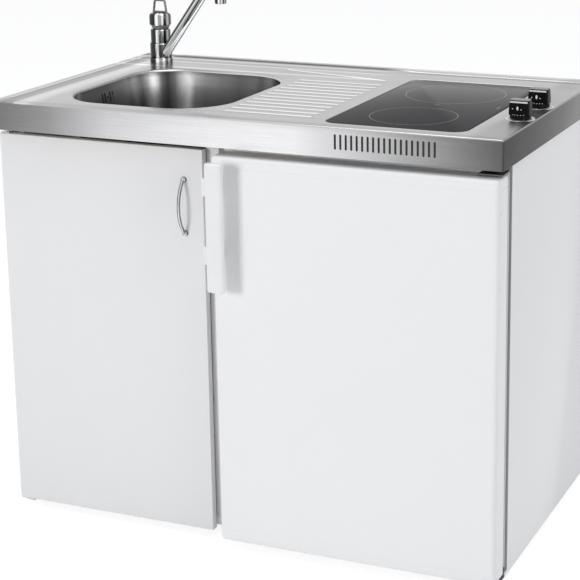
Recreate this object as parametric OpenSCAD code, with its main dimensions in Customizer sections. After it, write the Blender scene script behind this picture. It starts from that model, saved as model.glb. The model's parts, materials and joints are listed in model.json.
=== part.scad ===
// Kitchenette unit: one steel worktop with a sink, a drainer and a two-zone hob,
// standing on a one-door cupboard and an under-worktop refrigerator.
// Millimetres. X runs to the right, Y to the back and Z up; the floor is Z = 0.

/* [Worktop] */
// Width of the worktop
top_w = 1000; // [1000:10:1200]
// Depth of the worktop
top_d = 600; // [600:5:640]
// Height of the worktop above the floor
top_z = 820; // [800:5:900]
// Height of the turned-down apron
apron_h = 54; // [52:1:60]
// Thickness of the worktop and bowl sheet
sheet_t = 1.2; // [1:0.1:1.5]
// Radius of the worktop's upright corners
top_r = 3; // [2:0.5:6]
// Width of the wooden strips under the sheet
strip_w = 16; // [12:1:18]
// Height of the wooden strips under the sheet
strip_h = 44; // [44:1:48]
// Height of the pressed ribs and beads
rib_h = 1.5; // [1:0.1:2.5]
// Width of a drainer rib
rib_w = 13; // [8:1:16]
// Distance between two drainer ribs
rib_pitch = 30; // [26:1:36]

/* [Sink bowl] */
// Distance from the worktop's left edge to the bowl
bowl_edge = 102; // [98:1:102]
// Distance from the worktop's front edge to the bowl
bowl_front = 54; // [54:1:60]
// Width of the bowl opening
bowl_w = 326; // [300:2:326]
// Depth of the bowl opening, front to back
bowl_d = 380; // [360:2:380]
// Corner radius of the bowl opening
bowl_r = 100; // [60:5:120]
// Depth of the bowl below the worktop
bowl_deep = 150; // [130:5:170]
// How far each wall leans in on its way down
bowl_lean = 20; // [10:1:26]
// Height of the rounded foot of the walls
bowl_foot = 22; // [12:1:30]
// Width of the welding flange under the sheet
flange_w = 5; // [3:0.5:5]
// Diameter of the waste hole
waste_hole = 54; // [50:1:60]
// Width of an overflow slot
overflow_w = 4; // [3:0.5:5]
// Height of an overflow slot
overflow_h = 20; // [14:1:22]
// Distance between two overflow slots
overflow_pitch = 9.4; // [8:0.2:11]
// Depth of the overflow's centre below the worktop
overflow_deep = 30; // [26:1:36]

/* [Waste] */
// Diameter of the trap's cup
cup_d = 62; // [56:1:70]
// Height of the trap's cup
cup_h = 90; // [70:5:110]
// Outer diameter of the waste pipe to the wall
pipe_d = 40; // [32:1:40]
// Wall of the waste pipes
pipe_wall = 2; // [1.5:0.25:2.5]
// Height of the chamber under the bowl
chamber_h = 46; // [40:1:50]
// Distance from the bowl down to the overflow's inlet
spigot_drop = 30; // [28:1:34]
// Distance from the bowl down to the trap
trap_drop = 95; // [90:5:130]
// Diameter of the overflow pipe
overflow_pipe_d = 20; // [16:1:22]

/* [Tap] */
// Distance from the worktop's left edge to the tap
tap_edge = 88; // [80:1:95]
// Distance from the worktop's back edge to the tap
tap_back = 105; // [80:1:110]
// Diameter of the tap's upper body
tap_d = 42; // [40:1:46]
// Diameter of the stem that the spout turns on
tap_stem_d = 34; // [30:1:36]
// Diameter of the foot ring
tap_foot_d = 48; // [46:1:56]
// Height of the foot ring
tap_foot_h = 12; // [6:1:14]
// Height of the spout's collar
collar_h = 29; // [29:1:32]
// Height of the lever's ball pivot above the worktop
pivot_h = 82; // [80:1:90]
// Height of the lever cap
cap_h = 25; // [22:1:28]
// Diameter of the lever cap
cap_d = 46; // [44:1:52]
// Height of the lever's loop above its cap
loop_h = 28; // [24:1:40]
// Diameter of the spout tube
spout_d = 22; // [18:1:23]
// Length of the spout's straight rise
spout_rise = 220; // [150:5:230]
// Slope of the spout's straight rise
spout_slope = 44; // [38:1:50]
// Radius of the spout's top bend
spout_r = 25; // [24:1:36]
// Direction of the spout at rest, turned from the +X axis
spout_az = -27; // [-60:1:0]
// Diameter of the hole in the worktop for the tap
tap_hole = 35; // [33:1:37]

/* [Hob] */
// Distance from the worktop's right edge to the glass
hob_edge = 81; // [79:1:86]
// Distance from the worktop's front edge to the glass
hob_front = 33; // [33:1:40]
// Width of the glass
hob_w = 261; // [240:1:262]
// Depth of the glass, front to back
hob_d = 452; // [440:1:456]
// Corner radius of the glass
hob_r = 26; // [15:1:35]
// Thickness of the glass
glass_t = 4; // [3:0.5:5]
// Width of the ledge that the glass lies on
ledge_w = 12; // [8:1:14]
// Thickness of the seal under the glass
seal_t = 0.8; // [0.5:0.1:1.2]
// Diameter of the front heater
front_zone_d = 156; // [140:1:165]
// Diameter of the rear heater
rear_zone_d = 188; // [180:1:200]
// Distance from the glass's front edge to the front heater's centre
front_zone_y = 107; // [100:1:112]
// Distance from the glass's front edge to the rear heater's centre
rear_zone_y = 329; // [322:1:334]
// Height of a heater
heater_h = 26; // [20:1:28]
// Number of ventilation slots in the front apron
vent_n = 19; // [9:2:21]
// Distance between two ventilation slots
vent_pitch = 10.1; // [8:0.1:11]
// Width of a ventilation slot
vent_w = 4; // [3:0.5:5]
// Height of a ventilation slot
vent_h = 27; // [18:1:30]
// Distance from the worktop's top down to the slots
vent_top = 12; // [9:1:14]

/* [Hob knobs] */
// Distance from the worktop's right edge to the knobs
knob_edge = 28; // [26:1:34]
// Distance from the worktop's front edge to the front knob
knob_front_y = 180; // [150:1:190]
// Distance from the front knob to the rear knob
knob_gap = 113; // [90:1:130]
// Diameter of a knob
knob_d = 38; // [32:1:42]
// Height of a knob
knob_h = 33; // [26:1:36]
// Diameter of a knob's spindle
spindle_d = 6; // [5:0.5:8]
// Width of an energy regulator
regulator_w = 34; // [28:1:36]
// Height of an energy regulator
regulator_h = 30; // [24:1:34]

/* [Cupboard] */
// Thickness of the board panels
board = 16; // [15:1:19]
// Distance from the worktop's front edge to the panels' front edges
carcass_front = 45; // [45:1:50]
// Distance from the worktop's back edge to the panels' back edges
carcass_back = 15; // [8:1:20]
// Height of the base board's underside
base_z = 22; // [20:1:30]
// Height of the hardboard back
back_h = 420; // [300:10:480]
// Thickness of the hardboard back
back_t = 4; // [3:0.5:6]
// Height of the rear rail
rail_h = 80; // [60:5:100]
// Distance between the rear rail's two wall-fixing holes
fixing_gap = 240; // [120:10:300]
// Diameter of the wall-fixing holes
fixing_d = 8; // [6:0.5:10]
// Height of the glides under the panels
glide_h = 4; // [3:0.5:6]

/* [Cupboard door] */
// Thickness of the cupboard door
door_t = 16; // [16:1:18]
// Distance from the worktop's front edge to the door's front face
door_front = 25; // [22:1:25]
// Height of the door's lower edge
door_z = 18; // [16:1:20]
// Gap between the apron and both doors
apron_gap = 12; // [8:1:16]
// Width of the door's stop batten on the divider
stop_w = 10; // [6:1:12]
// How far the door reaches over the stop batten
door_lap = 2; // [1:1:5]
// Diameter of the cupboard door's hinge pins
pin_d = 6; // [5:0.5:7]
// Distance between the bow handle's two feet
bow_len = 100; // [80:2:128]
// How far the bow handle stands out
bow_out = 27; // [22:1:30]
// Diameter of the bow handle's rod
bow_d = 6; // [5:0.5:8]
// Distance from the door's free edge to the bow handle
bow_edge = 38; // [35:1:70]
// Distance from the door's upper edge to the bow's middle
bow_drop = 107; // [90:1:140]

/* [Refrigerator case] */
// Width of the refrigerator
fridge_w = 535; // [520:1:547]
// Distance from the worktop's right edge to the refrigerator's side
fridge_inset = 3; // [2:0.5:4]
// Gap between the cupboard and the refrigerator
unit_gap = 11; // [6:1:11]
// Height of the refrigerator's feet
foot_h = 16; // [14:1:20]
// Diameter of the refrigerator's feet
foot_d = 34; // [26:1:40]
// Thickness of the refrigerator's steel casing
shell_t = 1.5; // [1:0.1:2]
// Thickness of the insulated walls
wall_t = 38; // [32:1:42]
// Thickness of the plastic lining
liner_t = 2; // [1.5:0.1:3]
// Distance from the worktop's back edge to the refrigerator's back
fridge_back = 42; // [40:1:50]
// Depth of the compressor's space
machine_d = 165; // [160:1:190]
// Height of the compressor's space
machine_h = 190; // [190:1:220]

/* [Refrigerator door] */
// Distance that the door's front face stands before the worktop
fdoor_out = 14; // [10:1:20]
// Thickness of the door
fdoor_t = 50; // [46:1:51]
// Height of the door's lower edge
fdoor_z = 24; // [24:1:30]
// Radius of the door's upright front edges
fdoor_r = 10; // [6:1:14]
// Thickness of the door's steel skin
fdoor_skin = 1.2; // [0.8:0.1:1.6]
// Distance from the door's edge to its seal
gasket_in = 18; // [18:1:24]
// Width of the door's seal
gasket_w = 14; // [10:1:16]
// Distance from the door's right edge to its hinge axis
axis_in = 14; // [12:1:16]
// Distance from the door's rear face to its hinge axis
axis_back = 18; // [16:1:20]
// Diameter of the door's hinge pins
fpin_d = 8; // [6:0.5:10]
// Depth of the door's bores for the hinge pins
fpin_len = 16; // [12:1:24]
// Width of a hinge bracket
hinge_w = 44; // [36:1:50]
// Thickness of a hinge bracket
hinge_t = 3; // [2:0.5:3]
// Height of a hinge bracket's screwed leg
hinge_leg = 20; // [18:1:24]
// Diameter of the blanking plugs
plug_d = 7; // [6:0.5:10]
// Distance from the door's front face to the blanking plugs
plug_in = 16; // [12:1:24]
// Width of the bar handle
bar_w = 33; // [26:1:38]
// Length of the bar handle
bar_len = 234; // [180:2:260]
// Thickness of the bar handle
bar_t = 14; // [10:1:16]
// Space between the door and the bar handle
bar_gap = 32; // [28:1:36]
// Distance from the door's left edge to the bar handle
bar_in = 11; // [10:1:30]
// Distance from the door's upper edge to the handle's top
bar_drop = 3; // [2:1:30]

/* [Refrigerator inside] */
// Height of the ice box
ice_h = 110; // [90:5:130]
// Depth of the ice box
ice_d = 330; // [280:5:360]
// Gap between the ice box and the lining's back
ice_gap = 25; // [20:5:60]
// Wall of the ice box
ice_t = 3; // [2:0.5:4]
// Thickness of the ice box's flap
flap_t = 8; // [8:0.5:10]
// Width of the thermostat's housing
stat_w = 56; // [50:1:60]
// Depth of the thermostat's housing
stat_d = 150; // [140:5:180]
// Distance from the case's front edge to the thermostat's housing
stat_in = 75; // [70:1:90]
// Height of the dial's centre above the ice box's floor
dial_up = 40; // [30:1:60]
// Distance from the case's front edge to the shelves
shelf_in = 95; // [90:1:120]
// Thickness of a glass shelf
shelf_t = 4; // [3:0.5:5]
// Space between two glass shelves
shelf_gap = 125; // [110:5:140]
// Height of the vegetable drawer
crisper_h = 130; // [110:5:140]
// Depth of the vegetable drawer
crisper_d = 190; // [160:5:195]
// Depth of a door rack
rack_d = 70; // [55:1:75]
// Height of a door rack's front
rack_h = 60; // [45:1:80]
// Thickness of a door rack's plastic
rack_t = 2.5; // [2:0.1:3]
// Height of the lowest door rack above the cavity's floor
rack_z1 = 28; // [28:1:60]
// Height of the middle door rack above the cavity's floor
rack_z2 = 250; // [180:5:300]
// Height of the top door rack above the cavity's floor
rack_z3 = 430; // [380:5:500]
// Thickness of the door's lining
door_liner_t = 2; // [1.5:0.1:3]
// How far the door lining's raised frame stands out
door_rib_h = 30; // [24:1:36]
// Width of the door lining's raised frame
door_rib_w = 14; // [10:1:16]
// Diameter of the thermostat's dial
dial_d = 34; // [28:1:38]
// Diameter of the compressor
compressor_d = 118; // [100:1:120]
// Height of the compressor's pot
compressor_h = 106; // [80:1:120]
// Diameter of the condenser's tube
coil_d = 5; // [4:0.5:6]
// Number of the condenser's cross tubes
coil_rows = 9; // [5:1:13]
// Number of the condenser's upright wires
coil_wires = 11; // [5:1:21]
// Distance from the case's sides to the condenser
coil_in = 40; // [30:1:60]

/* [Hidden] */
$fn = 48;

// Clearances and sizes that the model shares
fit = 0.3;
run = 0.05;
half_w = top_w / 2;
under_z = top_z - sheet_t;
frame_z = under_z - strip_h;
apron_z = top_z - apron_h;
door_top = apron_z - apron_gap;
// The model stands with the middle of its whole depth on the origin
front_y = -fdoor_out - bar_gap - bar_t;
mid_y = (front_y + top_d) / 2;

panel_x = -half_w + sheet_t + fit;
fridge_x1 = half_w - fridge_inset;
fridge_x0 = fridge_x1 - fridge_w;
div_x1 = fridge_x0 - unit_gap;
div_x0 = div_x1 - board;
in_x0 = panel_x + board;
carcass_y1 = top_d - carcass_back;

bowl_x0 = -half_w + bowl_edge;
bowl_cx = bowl_x0 + bowl_w / 2;
bowl_cy = bowl_front + bowl_d / 2;
bowl_z = top_z - bowl_deep;
bowl_top = under_z - sheet_t;
// How far the wall has leaned in at the overflow's depth
overflow_lean = bowl_lean * overflow_deep / bowl_deep;

hob_x1 = half_w - hob_edge;
hob_cx = hob_x1 - hob_w / 2;
hob_cy = hob_front + hob_d / 2;
ledge_z = top_z - glass_t - seal_t - sheet_t;
heater_z = ledge_z + sheet_t - heater_h - 1;
tray_t = 1;
tray_z = heater_z - tray_t;
tray_w = hob_w - 2 * ledge_w - 2;
tray_d = hob_d - 2 * ledge_w - 2;

knob_x = half_w - knob_edge;
knob_y2 = knob_front_y + knob_gap;

tap_x = -half_w + tap_edge;
tap_y = top_d - tap_back;
collar_z = top_z + tap_foot_h + fit;
body_top = top_z + pivot_h - 12;
cap_low = 3;
pivot_z = top_z + pivot_h;
ball_r = tap_d / 2 - 1;
lever_pin_d = 4;

fridge_y1 = top_d - fridge_back;
fdoor_y0 = -fdoor_out;
fdoor_y1 = fdoor_y0 + fdoor_t;
axis_x = fridge_x1 - axis_in;
axis_y = fdoor_y1 - axis_back;
cav_x0 = fridge_x0 + wall_t;
cav_x1 = fridge_x1 - wall_t;
cav_z0 = foot_h + wall_t;
cav_z1 = frame_z - wall_t;
cav_y1 = fridge_y1 - wall_t;
machine_y = fridge_y1 - machine_d;
lin_x0 = cav_x0 + liner_t;
lin_x1 = cav_x1 - liner_t;
lin_z0 = cav_z0 + liner_t;
lin_z1 = cav_z1 - liner_t;
lin_y1 = cav_y1 - liner_t;
step_y = machine_y - wall_t;
step_z = foot_h + machine_h + wall_t;
shelf_x0 = lin_x0 + 3;
shelf_x1 = lin_x1 - 3;

door_x0 = -half_w;
door_x1 = div_x0 - stop_w + door_lap;
door_y1 = door_front + door_t;
pivot_x = door_x0 + door_t / 2;
pivot_y = door_front + door_t / 2;
bow_x = door_x1 - bow_edge;
bow_z = door_top - bow_drop;

// A block between two corners
module block(x, y, z) {
    translate([x[0], y[0], z[0]]) cube([x[1] - x[0], y[1] - y[0], z[1] - z[0]]);
}

// A flat outline with four round corners, centred
module round_rect(w, d, r) {
    square([w - 2 * r, d], center = true);
    square([w, d - 2 * r], center = true);
    for (x = [-1, 1], y = [-1, 1]) translate([x * (w / 2 - r), y * (d / 2 - r)]) circle(r);
}

// A flat outline with round ends, along X from 0
module stadium(len, w) {
    translate([0, -w / 2]) square([len, w]);
    for (x = [0, len]) translate([x, 0]) circle(w / 2);
}

// Puts the model's parts where its origin says
module place() {
    translate([0, -mid_y, 0]) children();
}

// ---------- cupboard ----------

module left_panel() {
    color("whitesmoke") place()
        block([panel_x, in_x0], [carcass_front, carcass_y1], [glide_h, frame_z]);
}

// With a batten at its front that the door closes against
module divider_panel() {
    color("whitesmoke") place() {
        block([div_x0, div_x1], [carcass_front, carcass_y1], [glide_h, frame_z]);
        block([div_x0 - stop_w, div_x0 + 1], [carcass_front, carcass_front + board],
            [base_z + board, frame_z - board]);
    }
}

module base_panel() {
    color("whitesmoke") place()
        block([in_x0, div_x0], [carcass_front, carcass_y1 - back_t], [base_z, base_z + board]);
}

module back_panel() {
    color("wheat") place()
        block([in_x0, div_x0], [carcass_y1 - back_t, carcass_y1], [base_z, base_z + back_h]);
}

rail_tab = 30;
rail_t = 2;

module front_rail() {
    z0 = frame_z - board;
    color("silver") place() {
        block([in_x0, div_x0], [carcass_front, carcass_front + rail_t], [z0, frame_z]);
        for (x = [in_x0, div_x0 - rail_t])
            block([x, x + rail_t], [carcass_front, carcass_front + rail_tab / 3], [z0, frame_z]);
    }
}

module rear_rail() {
    mid_x = (in_x0 + div_x0) / 2;
    color("whitesmoke") place() difference() {
        block([in_x0, div_x0], [carcass_y1 - board, carcass_y1], [frame_z - rail_h, frame_z]);
        for (s = [-1, 1])
            translate([mid_x + s * fixing_gap / 2, carcass_y1 + 1, frame_z - rail_h / 2])
                rotate([90, 0, 0]) cylinder(d = fixing_d, h = board + 2);
    }
}

module panel_glides() {
    glide_d = board - 2;
    color("white") place()
        for (x = [panel_x + board / 2, div_x0 + board / 2], y = [carcass_front + 40, carcass_y1 - 40])
            translate([x, y, 0]) cylinder(d = glide_d, h = glide_h);
}

pivot_reach = 22;
pivot_t = 2;

module cupboard_door() {
    bow_screw = 4.4;
    color("white") place() difference() {
        block([door_x0, door_x1], [door_front, door_y1], [door_z, door_top]);
        translate([pivot_x, pivot_y, door_z - 1]) cylinder(d = pin_d + 2 * run, h = pivot_reach + 2);
        translate([pivot_x, pivot_y, door_top - pivot_reach - 1])
            cylinder(d = pin_d + 2 * run, h = pivot_reach + 2);
        for (s = [-1, 1]) translate([bow_x, door_front - 1, bow_z + s * bow_len / 2])
            rotate([-90, 0, 0]) cylinder(d = bow_screw, h = door_t + 2);
    }
}

bow_foot_h = 4;

// The rod is an arc whose ends stand on the two feet
module bow_handle() {
    rise = bow_out - bow_foot_h - bow_d / 2;
    half = bow_len / 2;
    bend = (half * half + rise * rise) / (2 * rise);
    sweep = 2 * asin(half / bend);
    color("silver") place() translate([bow_x, door_front - bow_foot_h, bow_z]) {
        translate([0, bend - rise, 0]) rotate([0, 90, 0]) rotate([0, 0, -90 - sweep / 2])
            rotate_extrude(angle = sweep) translate([bend, 0]) circle(d = bow_d, $fn = 24);
        for (s = [-1, 1]) translate([0, -1.5, s * half])
            rotate([-90, 0, 0]) cylinder(d = bow_d + 5, h = bow_foot_h + 1.5);
    }
}

module handle_screws() {
    color("silver") place() for (s = [-1, 1])
        translate([bow_x, door_front, bow_z + s * bow_len / 2]) rotate([-90, 0, 0]) {
            cylinder(d = 4, h = door_t);
            translate([0, 0, door_t]) cylinder(d = 8, h = 2.4);
        }
}

// A flat ear over the door's edge, bent along the panel's inner face, with its pin
module pivot_bracket(ear_z, leaf, pin) {
    block([panel_x, in_x0 + pivot_t], [door_front + 2, carcass_front - fit], ear_z);
    block([in_x0, in_x0 + pivot_t], [carcass_front - fit, carcass_front + rail_tab], ear_z);
    block([in_x0, in_x0 + pivot_t], [carcass_front + rail_t + 9, carcass_front + rail_tab], leaf);
    translate([pivot_x, pivot_y, pin[0]]) cylinder(d = pin_d, h = pin[1] - pin[0]);
}

module upper_pivot() {
    z = door_top + fit;
    color("silver") place()
        pivot_bracket([z, z + pivot_t], [z - 20, z], [z - pivot_reach, z]);
}

module lower_pivot() {
    z = door_z - fit - pivot_t;
    color("silver") place()
        pivot_bracket([z, z + pivot_t], [glide_h + 1, z], [z + pivot_t, z + pivot_reach]);
}

// ---------- worktop ----------

vent_x0 = hob_cx - (vent_n - 1) / 2 * vent_pitch;
rib_x0 = bowl_x0 + bowl_w + 27;
rib_x1 = hob_x1 - hob_w - 37;
rib_y0 = 66;
rib_n = floor((bowl_front + bowl_d - 30 - rib_y0) / rib_pitch) + 1;
bead_w = 5;
bead_in = 22;
knob_ring_d = knob_d + 14;

// The drainer's ribs and the long rib behind the bowl
module drainer_ribs() {
    for (i = [0:rib_n - 1])
        translate([rib_x0, rib_y0 + i * rib_pitch, top_z])
            linear_extrude(rib_h) stadium(rib_x1 - rib_x0, rib_w);
    translate([bowl_x0 + bowl_w - 46, bowl_front + bowl_d + 60, top_z]) rotate([0, 0, -12])
        linear_extrude(rib_h) stadium(rib_x1 - bowl_x0 - bowl_w + 40, rib_w);
}

// The raised bead that keeps water on the sheet
module edge_beads() {
    back = top_d - bead_in - 8;
    left = -half_w + bead_in;
    translate([left, bead_in, top_z]) rotate([0, 0, 90])
        linear_extrude(rib_h) stadium(back - bead_in, bead_w);
    translate([left, back, top_z]) linear_extrude(rib_h) stadium(half_w + rib_x1 - bead_in, bead_w);
    translate([rib_x1, back - 16, top_z])
        linear_extrude(rib_h) stadium(half_w - rib_x1 - 36, bead_w);
}

// The ring pressed round a knob
module knob_ring(y) {
    translate([knob_x, y, top_z]) linear_extrude(0.8) difference() {
        circle(d = knob_ring_d);
        circle(d = knob_ring_d - 6);
    }
}

// The pressed step that the glass lies in
module hob_ledge() {
    translate([hob_cx, hob_cy, ledge_z]) {
        linear_extrude(sheet_t) difference() {
            round_rect(hob_w + 2 * fit + 2 * sheet_t, hob_d + 2 * fit + 2 * sheet_t, hob_r + fit + sheet_t);
            round_rect(hob_w - 2 * ledge_w, hob_d - 2 * ledge_w, hob_r - ledge_w);
        }
        linear_extrude(top_z - ledge_z) difference() {
            round_rect(hob_w + 2 * fit + 2 * sheet_t, hob_d + 2 * fit + 2 * sheet_t, hob_r + fit + sheet_t);
            round_rect(hob_w + 2 * fit, hob_d + 2 * fit, hob_r + fit);
        }
    }
}

module worktop_sheet() {
    color("silver") place() {
        difference() {
            union() {
                translate([0, top_d / 2, under_z]) linear_extrude(sheet_t)
                    round_rect(top_w, top_d, top_r);
                translate([0, top_d / 2, apron_z]) linear_extrude(apron_h - sheet_t) difference() {
                    round_rect(top_w, top_d, top_r);
                    round_rect(top_w - 2 * sheet_t, top_d - 2 * sheet_t, top_r - sheet_t);
                }
                drainer_ribs();
                edge_beads();
                knob_ring(knob_front_y);
                knob_ring(knob_y2);
            }
            translate([bowl_cx, bowl_cy, under_z - 1]) linear_extrude(sheet_t + 5)
                round_rect(bowl_w, bowl_d, bowl_r);
            translate([hob_cx, hob_cy, under_z - 1]) linear_extrude(sheet_t + 5)
                round_rect(hob_w + 2 * fit, hob_d + 2 * fit, hob_r + fit);
            translate([tap_x, tap_y, under_z - 1]) cylinder(d = tap_hole, h = sheet_t + 5);
            for (y = [knob_front_y, knob_y2]) translate([knob_x, y, under_z - 1])
                cylinder(d = spindle_d + 6, h = sheet_t + 5);
            for (i = [0:vent_n - 1])
                translate([vent_x0 + i * vent_pitch, sheet_t + 1, top_z - vent_top - vent_w / 2])
                    rotate([90, 0, 0]) linear_extrude(sheet_t + 2) rotate([0, 0, -90])
                        stadium(vent_h - vent_w, vent_w);
        }
        hob_ledge();
    }
}

// Strips along the left, right and back, and along the front beside the vents
module worktop_frame() {
    gap = max(fit, 0.3 * (top_r - sheet_t));
    x0 = -half_w + sheet_t + gap;
    x1 = half_w - sheet_t - gap;
    y0 = sheet_t + gap;
    y1 = top_d - sheet_t - gap;
    z = [frame_z, under_z];
    color("burlywood") place() {
        block([x0, x0 + strip_w], [y0, y1], z);
        block([x1 - strip_w, x1], [y0, y1], z);
        block([x0, x1], [y1 - strip_w, y1], z);
        block([x0, hob_cx - hob_w / 2 - 20], [y0, y0 + strip_w], z);
    }
}

// ---------- sink ----------

// One level of the bowl's shape
module bowl_level(z, inset) {
    translate([bowl_cx, bowl_cy, z]) linear_extrude(0.01)
        round_rect(bowl_w - 2 * inset, bowl_d - 2 * inset, max(bowl_r - inset, 10));
}

// The bowl's shape, grown by the sheet's thickness for its outside
module bowl_form(grow, top) {
    hull() {
        bowl_level(top, -grow);
        bowl_level(bowl_z + bowl_foot, bowl_lean - grow);
        bowl_level(bowl_z + bowl_foot * 0.3 - grow * 0.7, bowl_lean + bowl_foot * 0.3 - grow * 0.7);
        bowl_level(bowl_z - grow, bowl_lean + bowl_foot - grow * 0.4);
    }
}

module sink_bowl() {
    color("silver") place() difference() {
        union() {
            bowl_form(sheet_t, bowl_top);
            translate([bowl_cx, bowl_cy, bowl_top]) linear_extrude(sheet_t)
                round_rect(bowl_w + 2 * flange_w, bowl_d + 2 * flange_w, bowl_r + flange_w);
        }
        bowl_form(0, top_z);
        translate([bowl_cx, bowl_cy, bowl_z - 5]) cylinder(d = waste_hole, h = 10);
        for (i = [-2, -1, 1, 2])
            translate([bowl_x0 - 6, bowl_cy + i * overflow_pitch, top_z - overflow_deep + overflow_h / 2])
                rotate([0, 90, 0]) linear_extrude(22) translate([overflow_w / 2, 0])
                    stadium(overflow_h - overflow_w, overflow_w);
        translate([bowl_x0 - 6, bowl_cy, top_z - overflow_deep]) rotate([0, 90, 0])
            cylinder(d = overflow_w + 1, h = 22);
    }
}

flange_d = waste_hole + 24;
flange_t = 1.5;
body_d = waste_hole - 0.6;
seat_d = body_d - 6;

module waste_flange() {
    color("silver") place() translate([bowl_cx, bowl_cy, bowl_z]) difference() {
        union() {
            cylinder(d = flange_d, h = flange_t);
            translate([0, 0, -14]) cylinder(d = body_d, h = 14);
        }
        translate([0, 0, -13]) cylinder(d = seat_d, h = 20);
        for (a = [0:60:300]) rotate([0, 0, a]) translate([seat_d / 4 + 2, 0, -15]) cylinder(d = 9, h = 4);
    }
}

// A cup with holes and a pull knob, seated in the flange
module sink_strainer() {
    color("silver") place() translate([bowl_cx, bowl_cy, bowl_z]) {
        difference() {
            union() {
                translate([0, 0, -9]) cylinder(d = seat_d - 2, h = 9 + flange_t + fit);
                translate([0, 0, flange_t + fit]) cylinder(d = seat_d + 8, h = 1.2);
            }
            translate([0, 0, -8]) cylinder(d = seat_d - 4.4, h = 20);
            for (a = [0:30:330]) rotate([0, 0, a]) translate([seat_d / 2 - 8, 0, -10]) cylinder(d = 4, h = 4);
        }
        translate([0, 0, -8]) cylinder(d = 5, h = 14);
        translate([0, 0, 6]) cylinder(d = 14, h = 5);
    }
}

waste_z = bowl_z - sheet_t - fit;
spigot_z = waste_z - spigot_drop;
trap_z = waste_z - trap_drop;
cup_x = bowl_cx;
cup_y = bowl_cy;

// The hood behind the overflow slots and its pipe down to the waste body
module overflow_pipe() {
    hood_x1 = bowl_x0 - sheet_t - fit;
    hood_x0 = hood_x1 - overflow_pipe_d - 4;
    pipe_x = hood_x0 + overflow_pipe_d / 2 + 2;
    hood_z = top_z - overflow_deep;
    span = 2.6 * overflow_pitch;
    color("whitesmoke") place() difference() {
        union() {
            block([hood_x0, hood_x1], [bowl_cy - span, bowl_cy + span], [hood_z - 14, hood_z + 14]);
            translate([pipe_x, bowl_cy, spigot_z]) cylinder(d = overflow_pipe_d, h = hood_z - spigot_z);
            translate([pipe_x, bowl_cy, spigot_z]) sphere(d = overflow_pipe_d);
            translate([pipe_x, bowl_cy, spigot_z]) rotate([0, 90, 0])
                cylinder(d = overflow_pipe_d, h = cup_x - body_d / 2 - 6 - fit - pipe_x);
        }
        block([hood_x0 + 2, hood_x1 + 1], [bowl_cy - span + 2, bowl_cy + span - 2], [hood_z - 12, hood_z + 12]);
        translate([pipe_x, bowl_cy, spigot_z]) cylinder(d = overflow_pipe_d - 4, h = hood_z - spigot_z);
        translate([pipe_x, bowl_cy, spigot_z]) rotate([0, 90, 0])
            cylinder(d = overflow_pipe_d - 4, h = cup_x - pipe_x);
    }
}

// The body under the bowl: nut, chamber, side inlet and the tube into the trap
module waste_body() {
    tube_d = pipe_d - 8;
    color("whitesmoke") place() translate([cup_x, cup_y, 0]) difference() {
        union() {
            translate([0, 0, waste_z - 12]) cylinder(d = flange_d - 4, h = 12, $fn = 12);
            translate([0, 0, waste_z - chamber_h]) cylinder(d = body_d + 12, h = chamber_h);
            translate([0, 0, trap_z]) cylinder(d = tube_d, h = waste_z - chamber_h + 6 - trap_z);
        }
        translate([0, 0, waste_z - chamber_h + 2]) cylinder(d = body_d + 2 * fit, h = chamber_h);
        translate([0, 0, trap_z - 1]) cylinder(d = tube_d - 2 * pipe_wall, h = 80);
        translate([0, 0, spigot_z]) rotate([0, -90, 0]) cylinder(d = overflow_pipe_d - 4, h = body_d);
    }
}

// The trap: a screwed cup under a head that the waste pipe leaves
module trap_cup() {
    tube_d = pipe_d - 8;
    color("whitesmoke") place() translate([cup_x, cup_y, 0]) difference() {
        translate([0, 0, trap_z - cup_h]) {
            cylinder(d = cup_d, h = cup_h);
            translate([0, 0, cup_h - pipe_d - 22]) cylinder(d = cup_d + 10, h = 14, $fn = 12);
            translate([0, 0, cup_h - pipe_d - 8]) cylinder(d = cup_d + 2, h = pipe_d + 8);
        }
        translate([0, 0, trap_z - cup_h + 3]) cylinder(d = cup_d - 6, h = cup_h - 6);
        translate([0, 0, trap_z - 10]) cylinder(d = tube_d - 2 * pipe_wall, h = 20);
        translate([0, 0, pipe_z]) rotate([-90, 0, 0]) cylinder(d = pipe_d - 2 * pipe_wall, h = cup_d);
    }
}

pipe_z = trap_z - 4 - pipe_d / 2;

// The pipe from the trap's head to the wall
module waste_pipe() {
    y0 = cup_y + cup_d / 2 + 1 + fit;
    color("whitesmoke") place() translate([cup_x, y0, pipe_z]) rotate([-90, 0, 0]) difference() {
        cylinder(d = pipe_d, h = top_d - y0 - 4);
        translate([0, 0, -1]) cylinder(d = pipe_d - 2 * pipe_wall, h = top_d);
    }
}

// ---------- tap ----------

shank_d = tap_hole - 2;
shank_len = 46;
cartridge_d = tap_stem_d - 8;
cartridge_z = body_top - 24;
tail_d = 10;
tail_len = 300;

module tap_body() {
    color("silver") place() translate([tap_x, tap_y, 0]) difference() {
        union() {
            translate([0, 0, top_z - shank_len]) cylinder(d = shank_d, h = shank_len);
            translate([0, 0, top_z]) cylinder(d = tap_foot_d, h = tap_foot_h);
            translate([0, 0, top_z]) cylinder(d = tap_stem_d, h = body_top - top_z);
            translate([0, 0, collar_z + collar_h + fit])
                cylinder(d = tap_d, h = body_top - collar_z - collar_h - fit);
        }
        translate([0, 0, cartridge_z]) cylinder(d = cartridge_d + 2 * run, h = 60);
        for (s = [-1, 1]) translate([s * 7, 0, top_z - shank_len - 1])
            cylinder(d = tail_d + 2 * run, h = 26);
    }
}

module tap_nut() {
    color("silver") place() translate([tap_x, tap_y, 0]) difference() {
        union() {
            translate([0, 0, under_z - 3]) cylinder(d = 52, h = 3);
            translate([0, 0, under_z - 15]) cylinder(d = 48, h = 12, $fn = 6);
        }
        translate([0, 0, under_z - 20]) cylinder(d = shank_d + 2 * run, h = 30);
    }
}

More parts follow.
